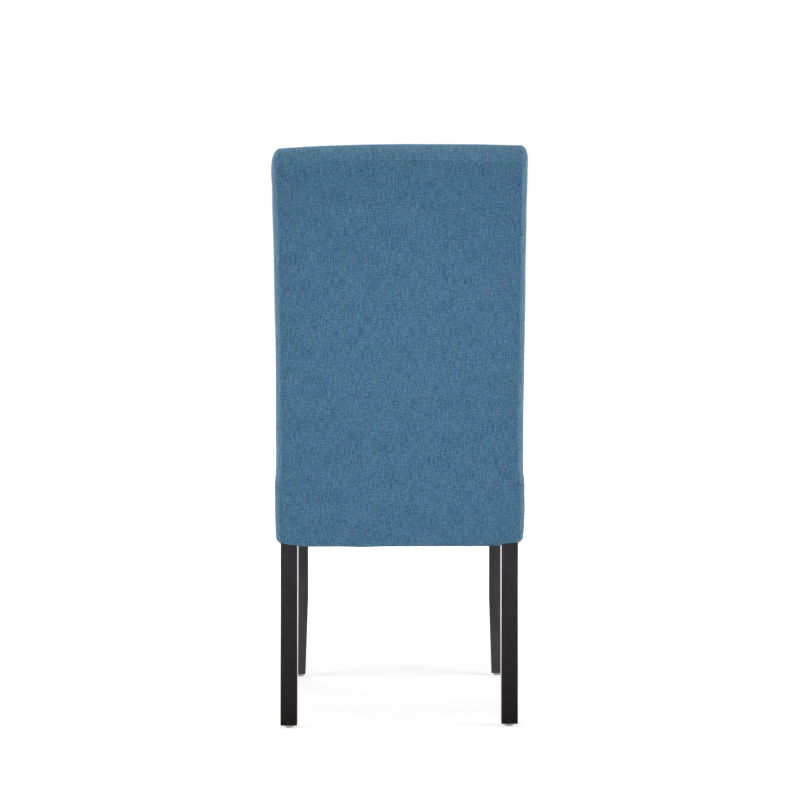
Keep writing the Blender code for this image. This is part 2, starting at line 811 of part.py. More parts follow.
def seat_form(inset):
    """The whole seat from hem to crown as one block, drawn in by inset on each side."""
    low = Vector((-HALF, FRONT, HEM_HEIGHT)) + Vector((inset, inset, inset))
    high = Vector((HALF, SEAT_REAR, SEAT_EDGE)) - Vector((inset, inset, inset))
    side = CORNER_RADIUS - inset
    low_radii = (side, SEAT_FRONT_RADIUS - inset, HEM_RADIUS - inset)
    high_radii = (side, side, SEAT_EDGE_RADIUS - inset)
    lip = CORNER_RADIUS + HEM_LIP
    front_lip = FRONT + SEAT_FRONT_RADIUS + HEM_LIP
    depths = [FRONT + share * (SEAT_REAR - FRONT) for share in SEAT_LOOP_SHARES]
    depths += [front_lip, FRONT_LEG_REAR, post_front(RAIL_BOTTOM), SEAT_REAR - lip]
    loops = (width_loops(lip), depths, [(HEM_HEIGHT + RAIL_TOP) / 2, RAIL_TOP])
    bm = rounded_block(low, high, low_radii, high_radii, loops)
    return bm, (-HALF + lip, HALF - lip, front_lip, SEAT_REAR - lip), shape_seat


def solid_from(name, form, material):
    """The form as a closed solid inside the fabric."""
    bm, _, shape = form(FABRIC + SOFT_GAP)
    for vertex in bm.verts:
        vertex.co = shape(vertex.co)
    thing = new_object(name, mesh_from(bm, name), material)
    smooth(thing)
    return thing


def cover_from(name, form, material):
    """The form as a fabric shell, open underneath inside its turned-in hem."""
    bm, (left, right, front, rear), shape = form(0)
    under = []
    for face in bm.faces:
        middle = face.calc_center_median()
        inside = left < middle.x < right and front < middle.y < rear
        if inside and middle.z < HEM_HEIGHT + GAP:
            under.append(face)
    bmesh.ops.delete(bm, geom=under, context="FACES")
    for vertex in bm.verts:
        vertex.co = shape(vertex.co)
    thing = new_object(name, mesh_from(bm, name), material)
    shell = thing.modifiers.new("fabric", "SOLIDIFY")
    shell.thickness = FABRIC
    shell.offset = -1
    shell.use_even_offset = True
    smooth(thing)
    return thing


# Spaces that the soft pieces are cut to

BELOW = HEM_HEIGHT - OVERRUN
ABOVE = HEIGHT + OVERRUN
WIDE = (-HALF - OVERRUN, HALF + OVERRUN)
AHEAD = level(FRONT - OVERRUN)
BEHIND = moved(rear_line, OVERRUN)
MID_BACK = moved(rear_line, -BACK_THICKNESS / 2)
CORE_SIDES = (-FRAME_HALF - GAP, FRAME_HALF + GAP)
FOAM_REAR = moved(post_front, -2 * GAP - STRAP_THICKNESS)
LINER_REAR = moved(post_rear, GAP + LINER_THICKNESS)

LEG_CLEARANCES = []
for row_name, leg_front, leg_rear in (
    ("front", level(FRAME_FRONT), level(FRONT_LEG_REAR)),
    ("rear", post_front, post_rear),
):
    for side_sign in (1, -1):
        edges = sorted((side_sign * (LEG_INNER - GAP), side_sign * (FRAME_HALF + GAP)))
        LEG_CLEARANCES.append(
            board(
                f"{row_name}_leg_clearance_{side_sign}",
                edges,
                (BELOW, RAIL_BOTTOM + HEM_RADIUS),
                moved(leg_front, -GAP),
                moved(leg_rear, GAP),
            )
        )


def back_space(name, clearance):
    """Where the sleeve of the back stands on the band: all behind its front face."""
    return board(name, WIDE, (BAND_TOP, ABOVE), moved(front_line, -clearance), BEHIND)


def panel_space(name, clearance):
    """The outside-back panel's place inside its seams."""
    return board(
        name,
        (-HALF + SEAM_INSET - clearance, HALF - SEAM_INSET + clearance),
        (BELOW, HEIGHT - TOP_SEAM_DROP + clearance),
        MID_BACK,
        BEHIND,
    )


# Seat foam, over the straps and up to the posts, with the back's sleeve standing on its rear

seat_foam = solid_from("seat_foam", seat_form, FOAM)
seat_foam_space = board(
    "seat_foam_space", WIDE, (FOAM_BOTTOM, ABOVE), AHEAD, level(post_front(RAIL_TOP) - GAP)
)
boolean(seat_foam, seat_foam_space, "INTERSECT")
cut(seat_foam, back_space("seat_foam_rear_space", GAP))


# Seat wadding, a strip round the frame's front and sides

seat_wadding = solid_from("seat_edge_wadding", seat_form, WADDING)
cut(
    seat_wadding,
    board("seat_frame_space", CORE_SIDES, (BELOW, ABOVE), level(FRAME_FRONT - GAP), BEHIND),
    board(
        "seat_wadding_foam_space",
        WIDE,
        (FOAM_BOTTOM - GAP, ABOVE),
        AHEAD,
        level(post_front(RAIL_TOP)),
    ),
    board("seat_wadding_top_space", WIDE, (BAND_TOP, ABOVE), AHEAD, BEHIND),
)


# Back foam on the front of the straps

back_foam = solid_from("back_foam", back_form, FOAM)
back_foam_space = board(
    "back_foam_space", WIDE, (BAND_TOP + GAP, ABOVE), moved(front_line, -OVERRUN), FOAM_REAR
)
boolean(back_foam, back_foam_space, "INTERSECT")


# Back wadding, a strip up one side, over the top and down the other

back_wadding = solid_from("back_edge_wadding", back_form, WADDING)
cut(
    back_wadding,
    board("below_sleeve_space", WIDE, (BELOW, BAND_TOP + GAP), AHEAD, BEHIND),
    board("back_core_space", CORE_SIDES, (BELOW, POST_TOP + GAP), AHEAD, BEHIND),
    board("back_wadding_foam_space", WIDE, (BELOW, ABOVE), AHEAD, moved(FOAM_REAR, GAP)),
)


# Outside back: a liner board on the posts and a thin wadding over it

board(
    "outside_back_liner",
    (-FRAME_HALF + LINER_INSET, FRAME_HALF - LINER_INSET),
    (HEM_HEIGHT + HEM_RADIUS, POST_TOP),
    moved(post_rear, GAP),
    LINER_REAR,
    FIBREBOARD,
)
rear_wadding = solid_from("outside_back_wadding", back_form, WADDING)
rear_wadding_space = board(
    "rear_wadding_space", (-FRAME_HALF, FRAME_HALF), (BELOW, POST_TOP), moved(LINER_REAR, GAP), BEHIND
)
boolean(rear_wadding, rear_wadding_space, "INTERSECT")


# Covers: seat with its band, inside back with its sides and top, and the outside-back panel

seat_cover = cover_from("seat_cover", seat_form, BLUE_FABRIC)
cut(
    seat_cover,
    panel_space("seat_cover_panel_space", SEAM_GAP),
    back_space("seat_cover_back_space", GAP),
    *LEG_CLEARANCES,
)
use_manifold_solver(seat_cover)

sleeve = cover_from("inside_back_cover", back_form, BLUE_FABRIC)
cut(
    sleeve,
    panel_space("sleeve_panel_space", SEAM_GAP),
    board("sleeve_lower_space", WIDE, (BELOW, BAND_TOP + GAP), AHEAD, BEHIND),
)

panel = cover_from("outside_back_cover", back_form, BLUE_FABRIC)
boolean(panel, panel_space("panel_space", 0), "INTERSECT")
cut(panel, *LEG_CLEARANCES[2:])


# Dust cover under the seat, with a cut-out at each leg

dust_cover = board(
    "dust_cover",
    (-HALF + DUST_INSET, HALF - DUST_INSET),
    (HEM_HEIGHT - GAP - DUST_CLOTH, HEM_HEIGHT - GAP),
    level(FRONT + DUST_INSET),
    level(SEAT_REAR - DUST_INSET),
    BLACK_CLOTH,
)
cut(dust_cover, *LEG_CLEARANCES)
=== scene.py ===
import math

import bmesh
import bpy
from mathutils import Matrix, Vector, noise
from mathutils.bvhtree import BVHTree


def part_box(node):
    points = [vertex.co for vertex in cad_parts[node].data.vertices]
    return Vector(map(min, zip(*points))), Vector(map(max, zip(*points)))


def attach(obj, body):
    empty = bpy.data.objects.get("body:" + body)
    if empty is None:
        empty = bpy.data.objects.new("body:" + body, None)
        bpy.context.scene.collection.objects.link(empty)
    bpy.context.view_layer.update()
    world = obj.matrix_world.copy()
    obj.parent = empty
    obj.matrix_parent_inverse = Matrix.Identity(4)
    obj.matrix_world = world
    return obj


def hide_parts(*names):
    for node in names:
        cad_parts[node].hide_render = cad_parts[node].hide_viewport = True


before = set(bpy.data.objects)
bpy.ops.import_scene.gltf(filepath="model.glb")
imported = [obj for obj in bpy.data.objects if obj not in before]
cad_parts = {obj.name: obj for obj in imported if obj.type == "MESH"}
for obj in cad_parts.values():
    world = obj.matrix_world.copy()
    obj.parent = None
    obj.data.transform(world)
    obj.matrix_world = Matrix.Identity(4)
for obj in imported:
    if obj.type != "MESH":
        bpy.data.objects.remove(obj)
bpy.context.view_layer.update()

# Legs. Square posts of solid beech, stained nearly black and lacquered, so the grain only just
# shows. The rear pair run on up inside the back. They stay as cut, and only the finish is added.


class Wire:
    """A socket of a material. Arithmetic on it adds Math nodes, and node() adds any other."""

    def __init__(self, tree, socket):
        self.tree = tree
        self.socket = socket

    def node(self, kind, sockets=None, output=0, stops=None, **settings):
        made = self.tree.nodes.new("ShaderNode" + kind)
        for name, value in settings.items():
            setattr(made, name, value)
        for index, (place, shade) in enumerate(stops or ()):
            elements = made.color_ramp.elements
            stop = elements[index] if index < 2 else elements.new(place)
            stop.position = place
            stop.color = (*shade, 1)
        for name, value in (sockets or {}).items():
            if isinstance(value, Wire):
                self.tree.links.new(value.socket, made.inputs[name])
            else:
                made.inputs[name].default_value = value
        return Wire(self.tree, made.outputs[output])

    def maths(self, operation, *others):
        return self.node("Math", dict(enumerate((self, *others))), operation=operation)

    def __add__(self, other):
        return self.maths("ADD", other)

    __radd__ = __add__

    def __sub__(self, other):
        return self.maths("SUBTRACT", other)

    def __rsub__(self, other):
        return self.node("Math", {0: other, 1: self}, operation="SUBTRACT")

    def __mul__(self, other):
        return self.maths("MULTIPLY", other)

    __rmul__ = __mul__

    def held(self):
        """The value, kept between 0 and 1."""
        return self.node("Clamp", {"Value": self})

    def mixed(self, low, high):
        """Between two shades, by this value."""
        return self.node("Mix", {0: self, 6: low, 7: high}, output=2, data_type="RGBA")

    def tinted(self, tint):
        """This shade, multiplied by another."""
        return self.node(
            "Mix", {0: 1.0, 6: self, 7: tint}, output=2, data_type="RGBA", blend_type="MULTIPLY"
        )

    def noise(self, scale, detail=2.0, roughness=0.5, stretch=(1, 1, 1)):
        """Noise on this place, in features per metre."""
        spread = tuple(scale * share for share in stretch)
        placed = self.node("Mapping", {"Vector": self, "Scale": spread})
        sockets = {"Vector": placed, "Scale": 1.0, "Detail": detail, "Roughness": roughness}
        return self.node("TexNoise", sockets)

    def into(self, shader, name):
        self.tree.links.new(self.socket, shader.inputs[name])


def new_finish(name, roughness, **constants):
    """A finish whose even values sit on its shader's own sockets, and the place on the piece."""
    material = bpy.data.materials.new(name)
    material.use_nodes = True
    tree = material.node_tree
    shader = tree.nodes["Principled BSDF"]
    shader.inputs["Roughness"].default_value = roughness
    for socket, value in constants.items():
        shader.inputs[socket.replace("_", " ")].default_value = value
    place = Wire(tree, tree.nodes.new("ShaderNodeTexCoord").outputs["Object"])
    return material, shader, place


def relief(height, shader, depth, strength):
    """Bump of this depth in metres from a height of 0 to 1."""
    sockets = {"Height": height, "Distance": depth, "Strength": strength}
    height.node("Bump", sockets).into(shader, "Normal")


def dress(start, material):
    """Gives every shown part whose name starts so this finish."""
    for name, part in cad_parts.items():
        if name.startswith(start):
            part.material_slots[0].material = material


def corners(node):
    """A CAD part's lowest and highest corners, to a tenth of a millimetre."""
    return [[round(place, 4) for place in corner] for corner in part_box(node)]


(LEG_INNER, _, LEG_FOOT), (LEG_OUTER, _, POST_TOP) = corners("rear_leg_left")
# The height at which the legs' painted shade and reflection reach their upper colour.
PAINTED_SHADE_TOP = 0.33
EDGE_WEAR_START = 0.0128
WEAR_SHARE = 0.5
GRAIN_DEPTH = 0.00012
GRAIN_DARK, GRAIN_LIGHT = (0.50, 0.48, 0.48, 1), (1.50, 1.52, 1.52, 1)
RUBBED_WOOD = (0.050, 0.036, 0.030, 1)
# Rear legs: painted shade, darker at the feet than under the seat.
REAR_PAINTED_SHADE_LOW, REAR_PAINTED_SHADE_HIGH = (0.0060, 0.0028, 0.0026, 1), (0.0280, 0.0245, 0.0285, 1)
# Front legs: painted reflection of the white floor, lighter at the feet than under the seat.
FRONT_PAINTED_REFLECTION_LOW, FRONT_PAINTED_REFLECTION_HIGH = (0.0360, 0.0340, 0.0355, 1), (0.0200, 0.0205, 0.0220, 1)
REAR_GLOSS = {"Coat_IOR": 1.20, "Specular_IOR_Level": 0.02}
FRONT_GLOSS = {"Coat_IOR": 1.27, "Specular_IOR_Level": 0.20}


def stained_beech(name, low, high, **gloss):
    """Nearly black lacquered wood, in one colour at the feet and another under the seat, a painted
    shade and reflection that change with height.
    """
    material, shader, place = new_finish(name, 0.34, Coat_Weight=1.0, Coat_Roughness=0.14, **gloss)
    figure = place.noise(30, 4, 0.55, (7, 7, 0.5))
    pores = place.noise(60, 3, 0.6, (22, 22, 0.7))
    cloud = place.noise(16, 3, 0.6, (1, 1, 0.8))
    streak = (figure * 0.9 + pores * 0.7 + cloud * 1.2 - 0.9).held()
    height = place.node("SeparateXYZ", {"Vector": place}, output=2)
    # Painted shade and reflection: the colour changes with height, from the feet up to under the
    # seat.
    rise = height.node("MapRange", {"Value": height, "From Max": PAINTED_SHADE_TOP})
    wood = rise.mixed(low, high).tinted(streak.mixed(GRAIN_DARK, GRAIN_LIGHT))
    sides = place.node("SeparateXYZ", {"Vector": place}).maths("ABSOLUTE")
    edge = (sides - (LEG_INNER + LEG_OUTER) / 2).maths("ABSOLUTE")
    worn = edge.node(
        "MapRange",
        {"Value": edge, "From Min": EDGE_WEAR_START, "From Max": (LEG_OUTER - LEG_INNER) / 2},
    )
    facing = place.node("NewGeometry", output="Normal")
    turned = facing.node("SeparateXYZ", {"Vector": facing}, output=1).maths("ABSOLUTE")
    # Real rubbed wear along the legs' edges.
    wear_and_painted_sheen = place.noise(90, 3, 0.6, (1, 1, 0.35))
    wear = (worn * turned * (wear_and_painted_sheen * 2.2 - 0.7)).held() * WEAR_SHARE
    wear.mixed(wood, RUBBED_WOOD).into(shader, "Base Color")
    handled = place.noise(14, 3, 0.6)
    (handled * 0.22 + figure * 0.10 + 0.20).into(shader, "Roughness")
    relief(figure * 0.6 + pores * 0.4, shader, GRAIN_DEPTH, 0.5)
    return material


# The front legs take a lighter copy of the finish, a painted reflection of the floor, and the rear
# legs a darker one with painted shade.
dress("rear_leg", stained_beech("stained_beech", REAR_PAINTED_SHADE_LOW, REAR_PAINTED_SHADE_HIGH, **REAR_GLOSS))
dress("front_leg", stained_beech("stained_beech_front_painted_reflection", FRONT_PAINTED_REFLECTION_LOW, FRONT_PAINTED_REFLECTION_HIGH, **FRONT_GLOSS))

# Frame. Rails of plain hardwood, tenoned into the legs, with a glued block bolted in each corner.
# All of it is covered, so it keeps the sawn and planed look of raw timber.

TIMBER_DARK, TIMBER_LIGHT = (0.40, 0.235, 0.105, 1), (0.68, 0.47, 0.26, 1)
SAW_DEPTH = 0.0002

material, shader, place = new_finish("raw_hardwood", 0.62)
growth = place.noise(24, 5, 0.6, (1, 5, 5))
saw = place.noise(300, 2, 0.5, (1, 0.2, 0.2))
timber = (growth * 0.8 + saw * 0.3).held()
timber.mixed(TIMBER_DARK, TIMBER_LIGHT).into(shader, "Base Color")
(0.5 + growth * 0.25).into(shader, "Roughness")
relief(saw, shader, SAW_DEPTH, 0.5)
for start in ("seat_rail", "back_rail", "corner_block"):
    dress(start, material)

# Bolts and washers. Zinc-plated steel, turned and stamped, that pull each leg into its corner.
# Their plating is mottled, with a dull bloom.

ZINC_DARK, ZINC_LIGHT = (0.44, 0.45, 0.45, 1), (0.66, 0.66, 0.63, 1)

ZINC, shader, place = new_finish("zinc_plated_steel", 0.34, Metallic=1.0)
cloud = place.noise(160, 4, 0.6)
cloud.mixed(ZINC_DARK, ZINC_LIGHT).into(shader, "Base Color")
(0.22 + cloud * 0.3).into(shader, "Roughness")
for start in ("corner_bolt", "corner_washer"):
    dress(start, ZINC)

# Glides. Pressed nickel buttons on a nail, driven into each foot.
# They carry fine scratches from the floor.

# The nickel is darkened, a painted shade that stands in for the shadowed floor and leg the glides
# reflect.
NICKEL_PAINTED_SHADE_DARK, NICKEL_PAINTED_SHADE_LIGHT = (0.27, 0.25, 0.23, 1), (0.47, 0.45, 0.42, 1)
SCRATCH_DEPTH = 0.00005

material, shader, place = new_finish("nickel", 0.24, Metallic=1.0)
scratch = place.noise(900, 2, 0.5, (1, 0.06, 1)).maths("GREATER_THAN", 0.66)
cloud = place.noise(240, 3)
cloud.mixed(NICKEL_PAINTED_SHADE_DARK, NICKEL_PAINTED_SHADE_LIGHT).into(shader, "Base Color")
(0.16 + cloud * 0.2 + scratch * 0.25).into(shader, "Roughness")
relief(scratch, shader, SCRATCH_DEPTH, 0.4)
dress("glide", material)

# Webbing. Woven elastic straps, stapled across the seat frame and over the front of the posts.
# Their ribs run slantwise and are a little fuzzy.

STRAP_DARK, STRAP_LIGHT = (0.020, 0.019, 0.017, 1), (0.085, 0.080, 0.070, 1)
RIB_DEPTH = 0.0004

material, shader, place = new_finish("elastic_webbing", 0.85)
ribs = place.node(
    "TexWave",
    {"Vector": place, "Scale": 90.0, "Distortion": 0.4},
    output=1,
    wave_type="BANDS",
    bands_direction="DIAGONAL",
)
fuzz = place.noise(700, 3)
strap = (ribs * 0.6 + fuzz * 0.5).held()
strap.mixed(STRAP_DARK, STRAP_LIGHT).into(shader, "Base Color")
relief(ribs, shader, RIB_DEPTH, 0.6)
for start in ("seat_webbing", "back_webbing"):
    dress(start, material)

# Liner. A thin sheet of fibreboard, stapled to the back of the posts.
# It keeps the outside back flat, and its pressed face is flecked.

BOARD_DARK, BOARD_LIGHT = (0.15, 0.082, 0.036, 1), (0.36, 0.22, 0.115, 1)
FLECK_DEPTH = 0.0002

material, shader, place = new_finish("fibreboard", 0.8)
flecks = place.noise(520, 4, 0.7)
flecks.mixed(BOARD_DARK, BOARD_LIGHT).into(shader, "Base Color")
relief(flecks, shader, FLECK_DEPTH, 0.5)
dress("outside_back_liner", material)

# Seat. Foam over the straps, wrapped in wadding and covered with one piece of blue linen-look
# cloth, pulled down over the rails, stapled under them and sewn at the two front corners.

(_, FRONT, HEM), _ = corners("seat_cover")
(_, _, RAIL_BOTTOM), (_, _, RAIL_TOP) = corners("seat_rail_rear")
(_, FRONT_LEG_FACE, _), (_, FRONT_LEG_REAR, _) = corners("front_leg_left")
HEIGHT = corners("inside_back_cover")[1][2]
HALF = 0.222
SEAT_REAR = 0.20465
SEAT_EDGE = 0.4645
SEAT_CROWN = 0.015
SEAT_TUCK = 0.150
TUCK_SHARE = 0.02
BAND_TOP = 0.4385
BAND_SWELL = 0.002
CORNER = 0.012
EDGE_ROUND = 0.024
HEM_ROUND = 0.008
CELL = 0.0070


def shared(value, start, end):
    """How far a value has come from one end to the other, from 0 to 1."""
    return min(max((value - start) / (end - start), 0.0), 1.0)


def eased(travel, length):
    """How far a slope of 1 that comes in gently over a length has risen."""
    travel = max(travel, 0.0)
    return travel * travel / (2 * length) if travel < length else travel - length / 2


def swell(value, centre, width):
    """1 at the centre, and fading on both sides of it."""
    return math.exp(-(((value - centre) / width) ** 2))


def swells(value, shapes):
    """Several swells together, each with its height, centre and width."""
    total = 0.0
    for height, centre, width in shapes:
        total += height * swell(value, centre, width)
    return total


LEAN = math.radians(10.2)
LEAN_BEND = 0.120
SPLAY = math.radians(3.6)
SPLAY_BEND = 0.100


def rear_line(height):
    """Rear face of the chair: upright at the seat, leaning above it, splayed below."""
    back = math.tan(LEAN) * eased(height - RAIL_TOP, LEAN_BEND)
    foot = math.tan(SPLAY) * eased(RAIL_BOTTOM - height, SPLAY_BEND)
    return SEAT_REAR + back + foot


POST_INSET = 0.0084
POST_DEPTH = 0.038
TOP_TAPER = 0.010
FOOT_TAPER = 0.007


def post_front(height):
    """Front face of the rear posts, which taper towards both ends."""
    upward = TOP_TAPER * shared(height, RAIL_TOP, POST_TOP)
    downward = FOOT_TAPER * shared(height, RAIL_BOTTOM, LEG_FOOT)
    return rear_line(height) - POST_INSET - POST_DEPTH + upward + downward


def arc_places(low, high, low_radius, high_radius, steps):
    """Where loops divide the rounds at both ends of a block evenly."""
    shares = [1 - math.tan(step * math.pi / 4 / steps) for step in range(steps)]
    starts = [low + low_radius * share for share in shares]
    return starts + [high - high_radius * share for share in shares]


def filled(places, step):
    """The places, with even ones between any two that lie further apart than a step."""
    places = sorted(places)
    closest = step / 30
    kept = [places[0]]
    for place in places[1:]:
        if place - kept[-1] < closest:
            continue
        count = max(1, round((place - kept[-1]) / step))
        start = kept[-1]
        kept += [start + (place - start) * (index + 1) / count for index in range(count)]
    return kept


ROUND_STEPS = 3
AT_END = 1e-5


def padded_block(low, high, low_radii, high_radii, loops, lay):
    """A block of even cells with rounded edges, and the cloth's own map, laid by the given rule."""
    bm = bmesh.new()
    bmesh.ops.create_cube(bm, size=1)
    low, high = Vector(low), Vector(high)
    size = Matrix.Translation((low + high) / 2) @ Matrix.Diagonal(high - low).to_4x4()
    bmesh.ops.transform(bm, matrix=size, verts=bm.verts)
    for axis in range(3):
        arcs = arc_places(low[axis], high[axis], low_radii[axis], high_radii[axis], ROUND_STEPS)
        normal = Vector([float(axis == index) for index in range(3)])
        for place in filled([low[axis], high[axis], *arcs, *loops[axis]], CELL):
            if low[axis] + AT_END < place < high[axis] - AT_END:
                geometry = bm.verts[:] + bm.edges[:] + bm.faces[:]
                bmesh.ops.bisect_plane(
                    bm, geom=geometry, plane_co=normal * place, plane_no=normal
                )
    bm.normal_update()
    # How deep in a rounded edge each corner lies; the cloth's painted sheen along its edges reads
    # it.
    edge = bm.verts.layers.float.new("edge")
    weave = bm.loops.layers.uv.new("weave")
    for face in bm.faces:
        for loop in face.loops:
            loop[weave].uv = lay(loop.vert.co, face.normal)
    for vertex in bm.verts:
        offset, centre, radii = Vector(), Vector(), Vector()
        for axis in range(3):
            place = vertex.co[axis]
            start, end = low[axis] + low_radii[axis], high[axis] - high_radii[axis]
            centre[axis] = min(max(place, start), end)
            radii[axis] = low_radii[axis] if place < start else high_radii[axis]
            offset[axis] = (place - centre[axis]) / radii[axis]
        vertex[edge] = sorted(abs(part) for part in offset)[1]
        offset.normalize()
        vertex.co = centre + Vector([r * o for r, o in zip(radii, offset)])
    return bm


def band_bulge(height):
    """How far the band round the seat swells between its hem and the seat's edge."""
    return BAND_SWELL * math.sin(math.pi * shared(height, HEM, SEAT_EDGE))


FRONT_DRAWN = 0.008


def front_hem_rise(x, y):
    """How far the hem is drawn up outside a front leg."""
    across = shared(abs(x), LEG_INNER, LEG_OUTER)
    return FRONT_DRAWN * (across * shared(y, FRONT_LEG_REAR, FRONT_LEG_FACE)) ** 2


LEFT_DRAWN, LEFT_DRAW_START, LEFT_DRAW_CURVE = 0.0054, 0.162, 1.7
RIGHT_DRAWN, RIGHT_DRAW_START, RIGHT_DRAW_CURVE = 0.0060, 0.136, 1.2
HEM_LIFT = 0.0022
HEM_SAGS = ((0.0020, 0.066, 0.044), (0.0014, -0.126, 0.024))
HEM_COVER = 0.0009
COVER_FULL = 0.184
HEM_TURN = SEAT_REAR - 0.0034


def rear_hem_rise(x, y):
    """How far the rear hem is drawn up outside the legs, and where it hangs unevenly between.

    Between the legs only its edge lifts that far, and what is turned under still covers the rail.
    """
    if x > 0:
        drawn = LEFT_DRAWN * shared(x, LEFT_DRAW_START, LEG_OUTER) ** LEFT_DRAW_CURVE
    else:
        drawn = RIGHT_DRAWN * shared(-x, RIGHT_DRAW_START, LEG_OUTER) ** RIGHT_DRAW_CURVE
    rise = drawn + HEM_LIFT - swells(x, HEM_SAGS)
    below = min(rise, HEM_COVER)
    below += (rise - below) * shared(abs(x), LEG_INNER, LEG_INNER + CELL)
    turned = (rise - below) * shared(y, HEM_TURN, SEAT_REAR)
    return below * shared(y, post_front(RAIL_BOTTOM), COVER_FULL) + turned


RISE_WHOLE, RISE_GONE = 0.008, 0.040


def hem_rise(x, y, z):
    """How far the cloth is drawn up at the hem, and less and less above it."""
    fade = 1 - shared(z, HEM + RISE_WHOLE, HEM + RISE_GONE)
    return fade * (front_hem_rise(x, y) + rear_hem_rise(x, y))


BACK_DRAWN = 0.0010
LEFT_SWELLS = (
    (-0.0009, 0.650, 0.070),
    (-0.0008, 0.490, 0.035),
    (0.0009, 0.945, 0.035),
    (0.0009, 0.443, 0.014),
)
RIGHT_SWELLS = ((0.0012, 0.390, 0.060), (0.0008, 0.720, 0.080), (0.0013, 0.443, 0.014))


def spread_x(x, z):
    """Widens the band, draws the back in, and makes the two sides differ a little."""
    drawn = BACK_DRAWN * math.sin(math.pi * shared(z, SEAT_EDGE, HEIGHT))
    uneven = swells(z, LEFT_SWELLS if x > 0 else RIGHT_SWELLS)
    return x * (1 + (band_bulge(z) - drawn + uneven) / HALF)


PANEL_HALF = 0.2102
PANEL_TOP = HEIGHT - 0.0295
RECESS = 0.0042
RECESS_STEP = 0.0005
RECESS_RUN = 0.012
RECESS_REACH = 0.030
GROOVE = 0.0002
SEAM_CUTS = [
    side * (PANEL_HALF + shift)
    for side in (-1, 1)
    for shift in (-RECESS_RUN, -GROOVE, 0, GROOVE)
]


def recessed(x, y, z, rear):
    """Steps the face back inside the seam, and on to where the outside-back panel lies full."""
    inward = min(PANEL_HALF - abs(x), PANEL_TOP - z)
    step = RECESS_STEP * shared(inward, 0.0, GROOVE)
    run = (RECESS - RECESS_STEP) * shared(inward, GROOVE, RECESS_RUN)
    return y - (step + run) * shared(y, rear - RECESS_REACH, rear - RECESS_REACH / 4)


TURNED_HEIGHT = 0.003


def shape_seat(point):
    """Crowns the top, leans the rear, covers the rail from below and tucks in under the back."""
    x, y, z = point
    along = shared(y, FRONT, SEAT_REAR)
    crown = SEAT_CROWN * (1 - (x / HALF) ** 2) * 4 * along * (1 - along)
    drawn_in = (BAND_SWELL - band_bulge(z)) * (1 - along) ** 2
    moved_y = y + drawn_in + (rear_line(z) - SEAT_REAR) * along**2
    raised = crown * shared(z, RAIL_TOP, SEAT_EDGE - EDGE_ROUND)
    moved_z = z + raised + hem_rise(x, moved_y, z)
    if y > SEAT_TUCK and z < HEM + TURNED_HEIGHT and abs(x) < LEG_INNER + GROOVE:
        moved_z = min(moved_z, HEM + HEM_COVER)
    if y > SEAT_TUCK and moved_z > BAND_TOP:
        moved_z = BAND_TOP + (moved_z - BAND_TOP) * TUCK_SHARE
    moved_y = recessed(x, moved_y, z, rear_line(z))
    return Vector((spread_x(x, z), moved_y, moved_z))


UNDERSIDE_MAP = 2


def lay_seat(point, normal):
    """One cloth over the top and down all sides. The hidden underside has a map of its own."""
    x, y, z = point
    if abs(normal.x) > 0.5:
        return (math.copysign(HALF + SEAT_EDGE - z, x), y - FRONT)
    if normal.y < -0.5:
        return (x, z - SEAT_EDGE)
    if normal.y > 0.5:
        return (x, SEAT_REAR - FRONT + SEAT_EDGE - z)
    if normal.z < -0.5:
        return (x + UNDERSIDE_MAP, y)
    return (x, y - FRONT)


HEM_HELD, HEM_FREE = 0.012, 0.045
REAR_FREE, REAR_HELD = 0.085, 0.122
AT_CORNER = 0.0001


def hold_seat(point):
    """How firmly the frame holds the seat's cloth: at its hem, corner seams and under the back."""
    x, y, z = point
    at_hem = 1 - shared(z, HEM + HEM_HELD, HEM + HEM_FREE)
    at_back = shared(y, REAR_FREE, REAR_HELD)
    at_seam = 1.0 if abs(x) > HALF - AT_CORNER and y < FRONT + AT_CORNER else 0.0
    return max(at_hem, at_back, at_seam)


PRESSURE = 1
BENDING = 0.8
SETTLING_FRAMES = 20


def settled(bm, holds, shrink, slack, most):
    """Lets the cloth swell over its filling from a slightly smaller shape, as cut and sewn."""
    bm.normal_update()
    starts = [v.co - v.normal * shrink * (1 - hold) for v, hold in zip(bm.verts, holds)]
    mesh = bpy.data.meshes.new("cloth_settling")
    bm.to_mesh(mesh)
    for vertex, start in zip(mesh.vertices, starts):
        vertex.co = start
    cloth = bpy.data.objects.new("cloth_settling", mesh)
    scene = bpy.context.scene
    scene.collection.objects.link(cloth)
    held = cloth.vertex_groups.new(name="held")
    for index, hold in enumerate(holds):
        held.add([index], hold, "REPLACE")
    physics = cloth.modifiers.new("cloth", "CLOTH")
    physics.settings.vertex_group_mass = "held"
    physics.settings.use_pressure = True
    physics.settings.uniform_pressure_force = PRESSURE
    physics.settings.shrink_min = -slack
    physics.settings.bending_stiffness = BENDING
    physics.settings.effector_weights.gravity = 0
    physics.point_cache.frame_end = SETTLING_FRAMES
    for step in range(1, SETTLING_FRAMES + 1):
        scene.frame_set(step)
    shown = cloth.evaluated_get(bpy.context.evaluated_depsgraph_get())
    ends = [vertex.co.copy() for vertex in shown.data.vertices]
    scene.frame_set(1)
    bpy.data.objects.remove(cloth)
    bpy.data.meshes.remove(mesh)
    moved = [end - vertex.co for vertex, end in zip(bm.verts, ends)]
    for vertex, move in zip(bm.verts, moved):
        if move.length > 0:
            vertex.co += move * (math.tanh(move.length / most) * most / move.length)


BROAD_WAVES, FINE_WAVES = 11.0, 34.0
FINE_PLACE = Vector((5.2, 1.7, 3.1))


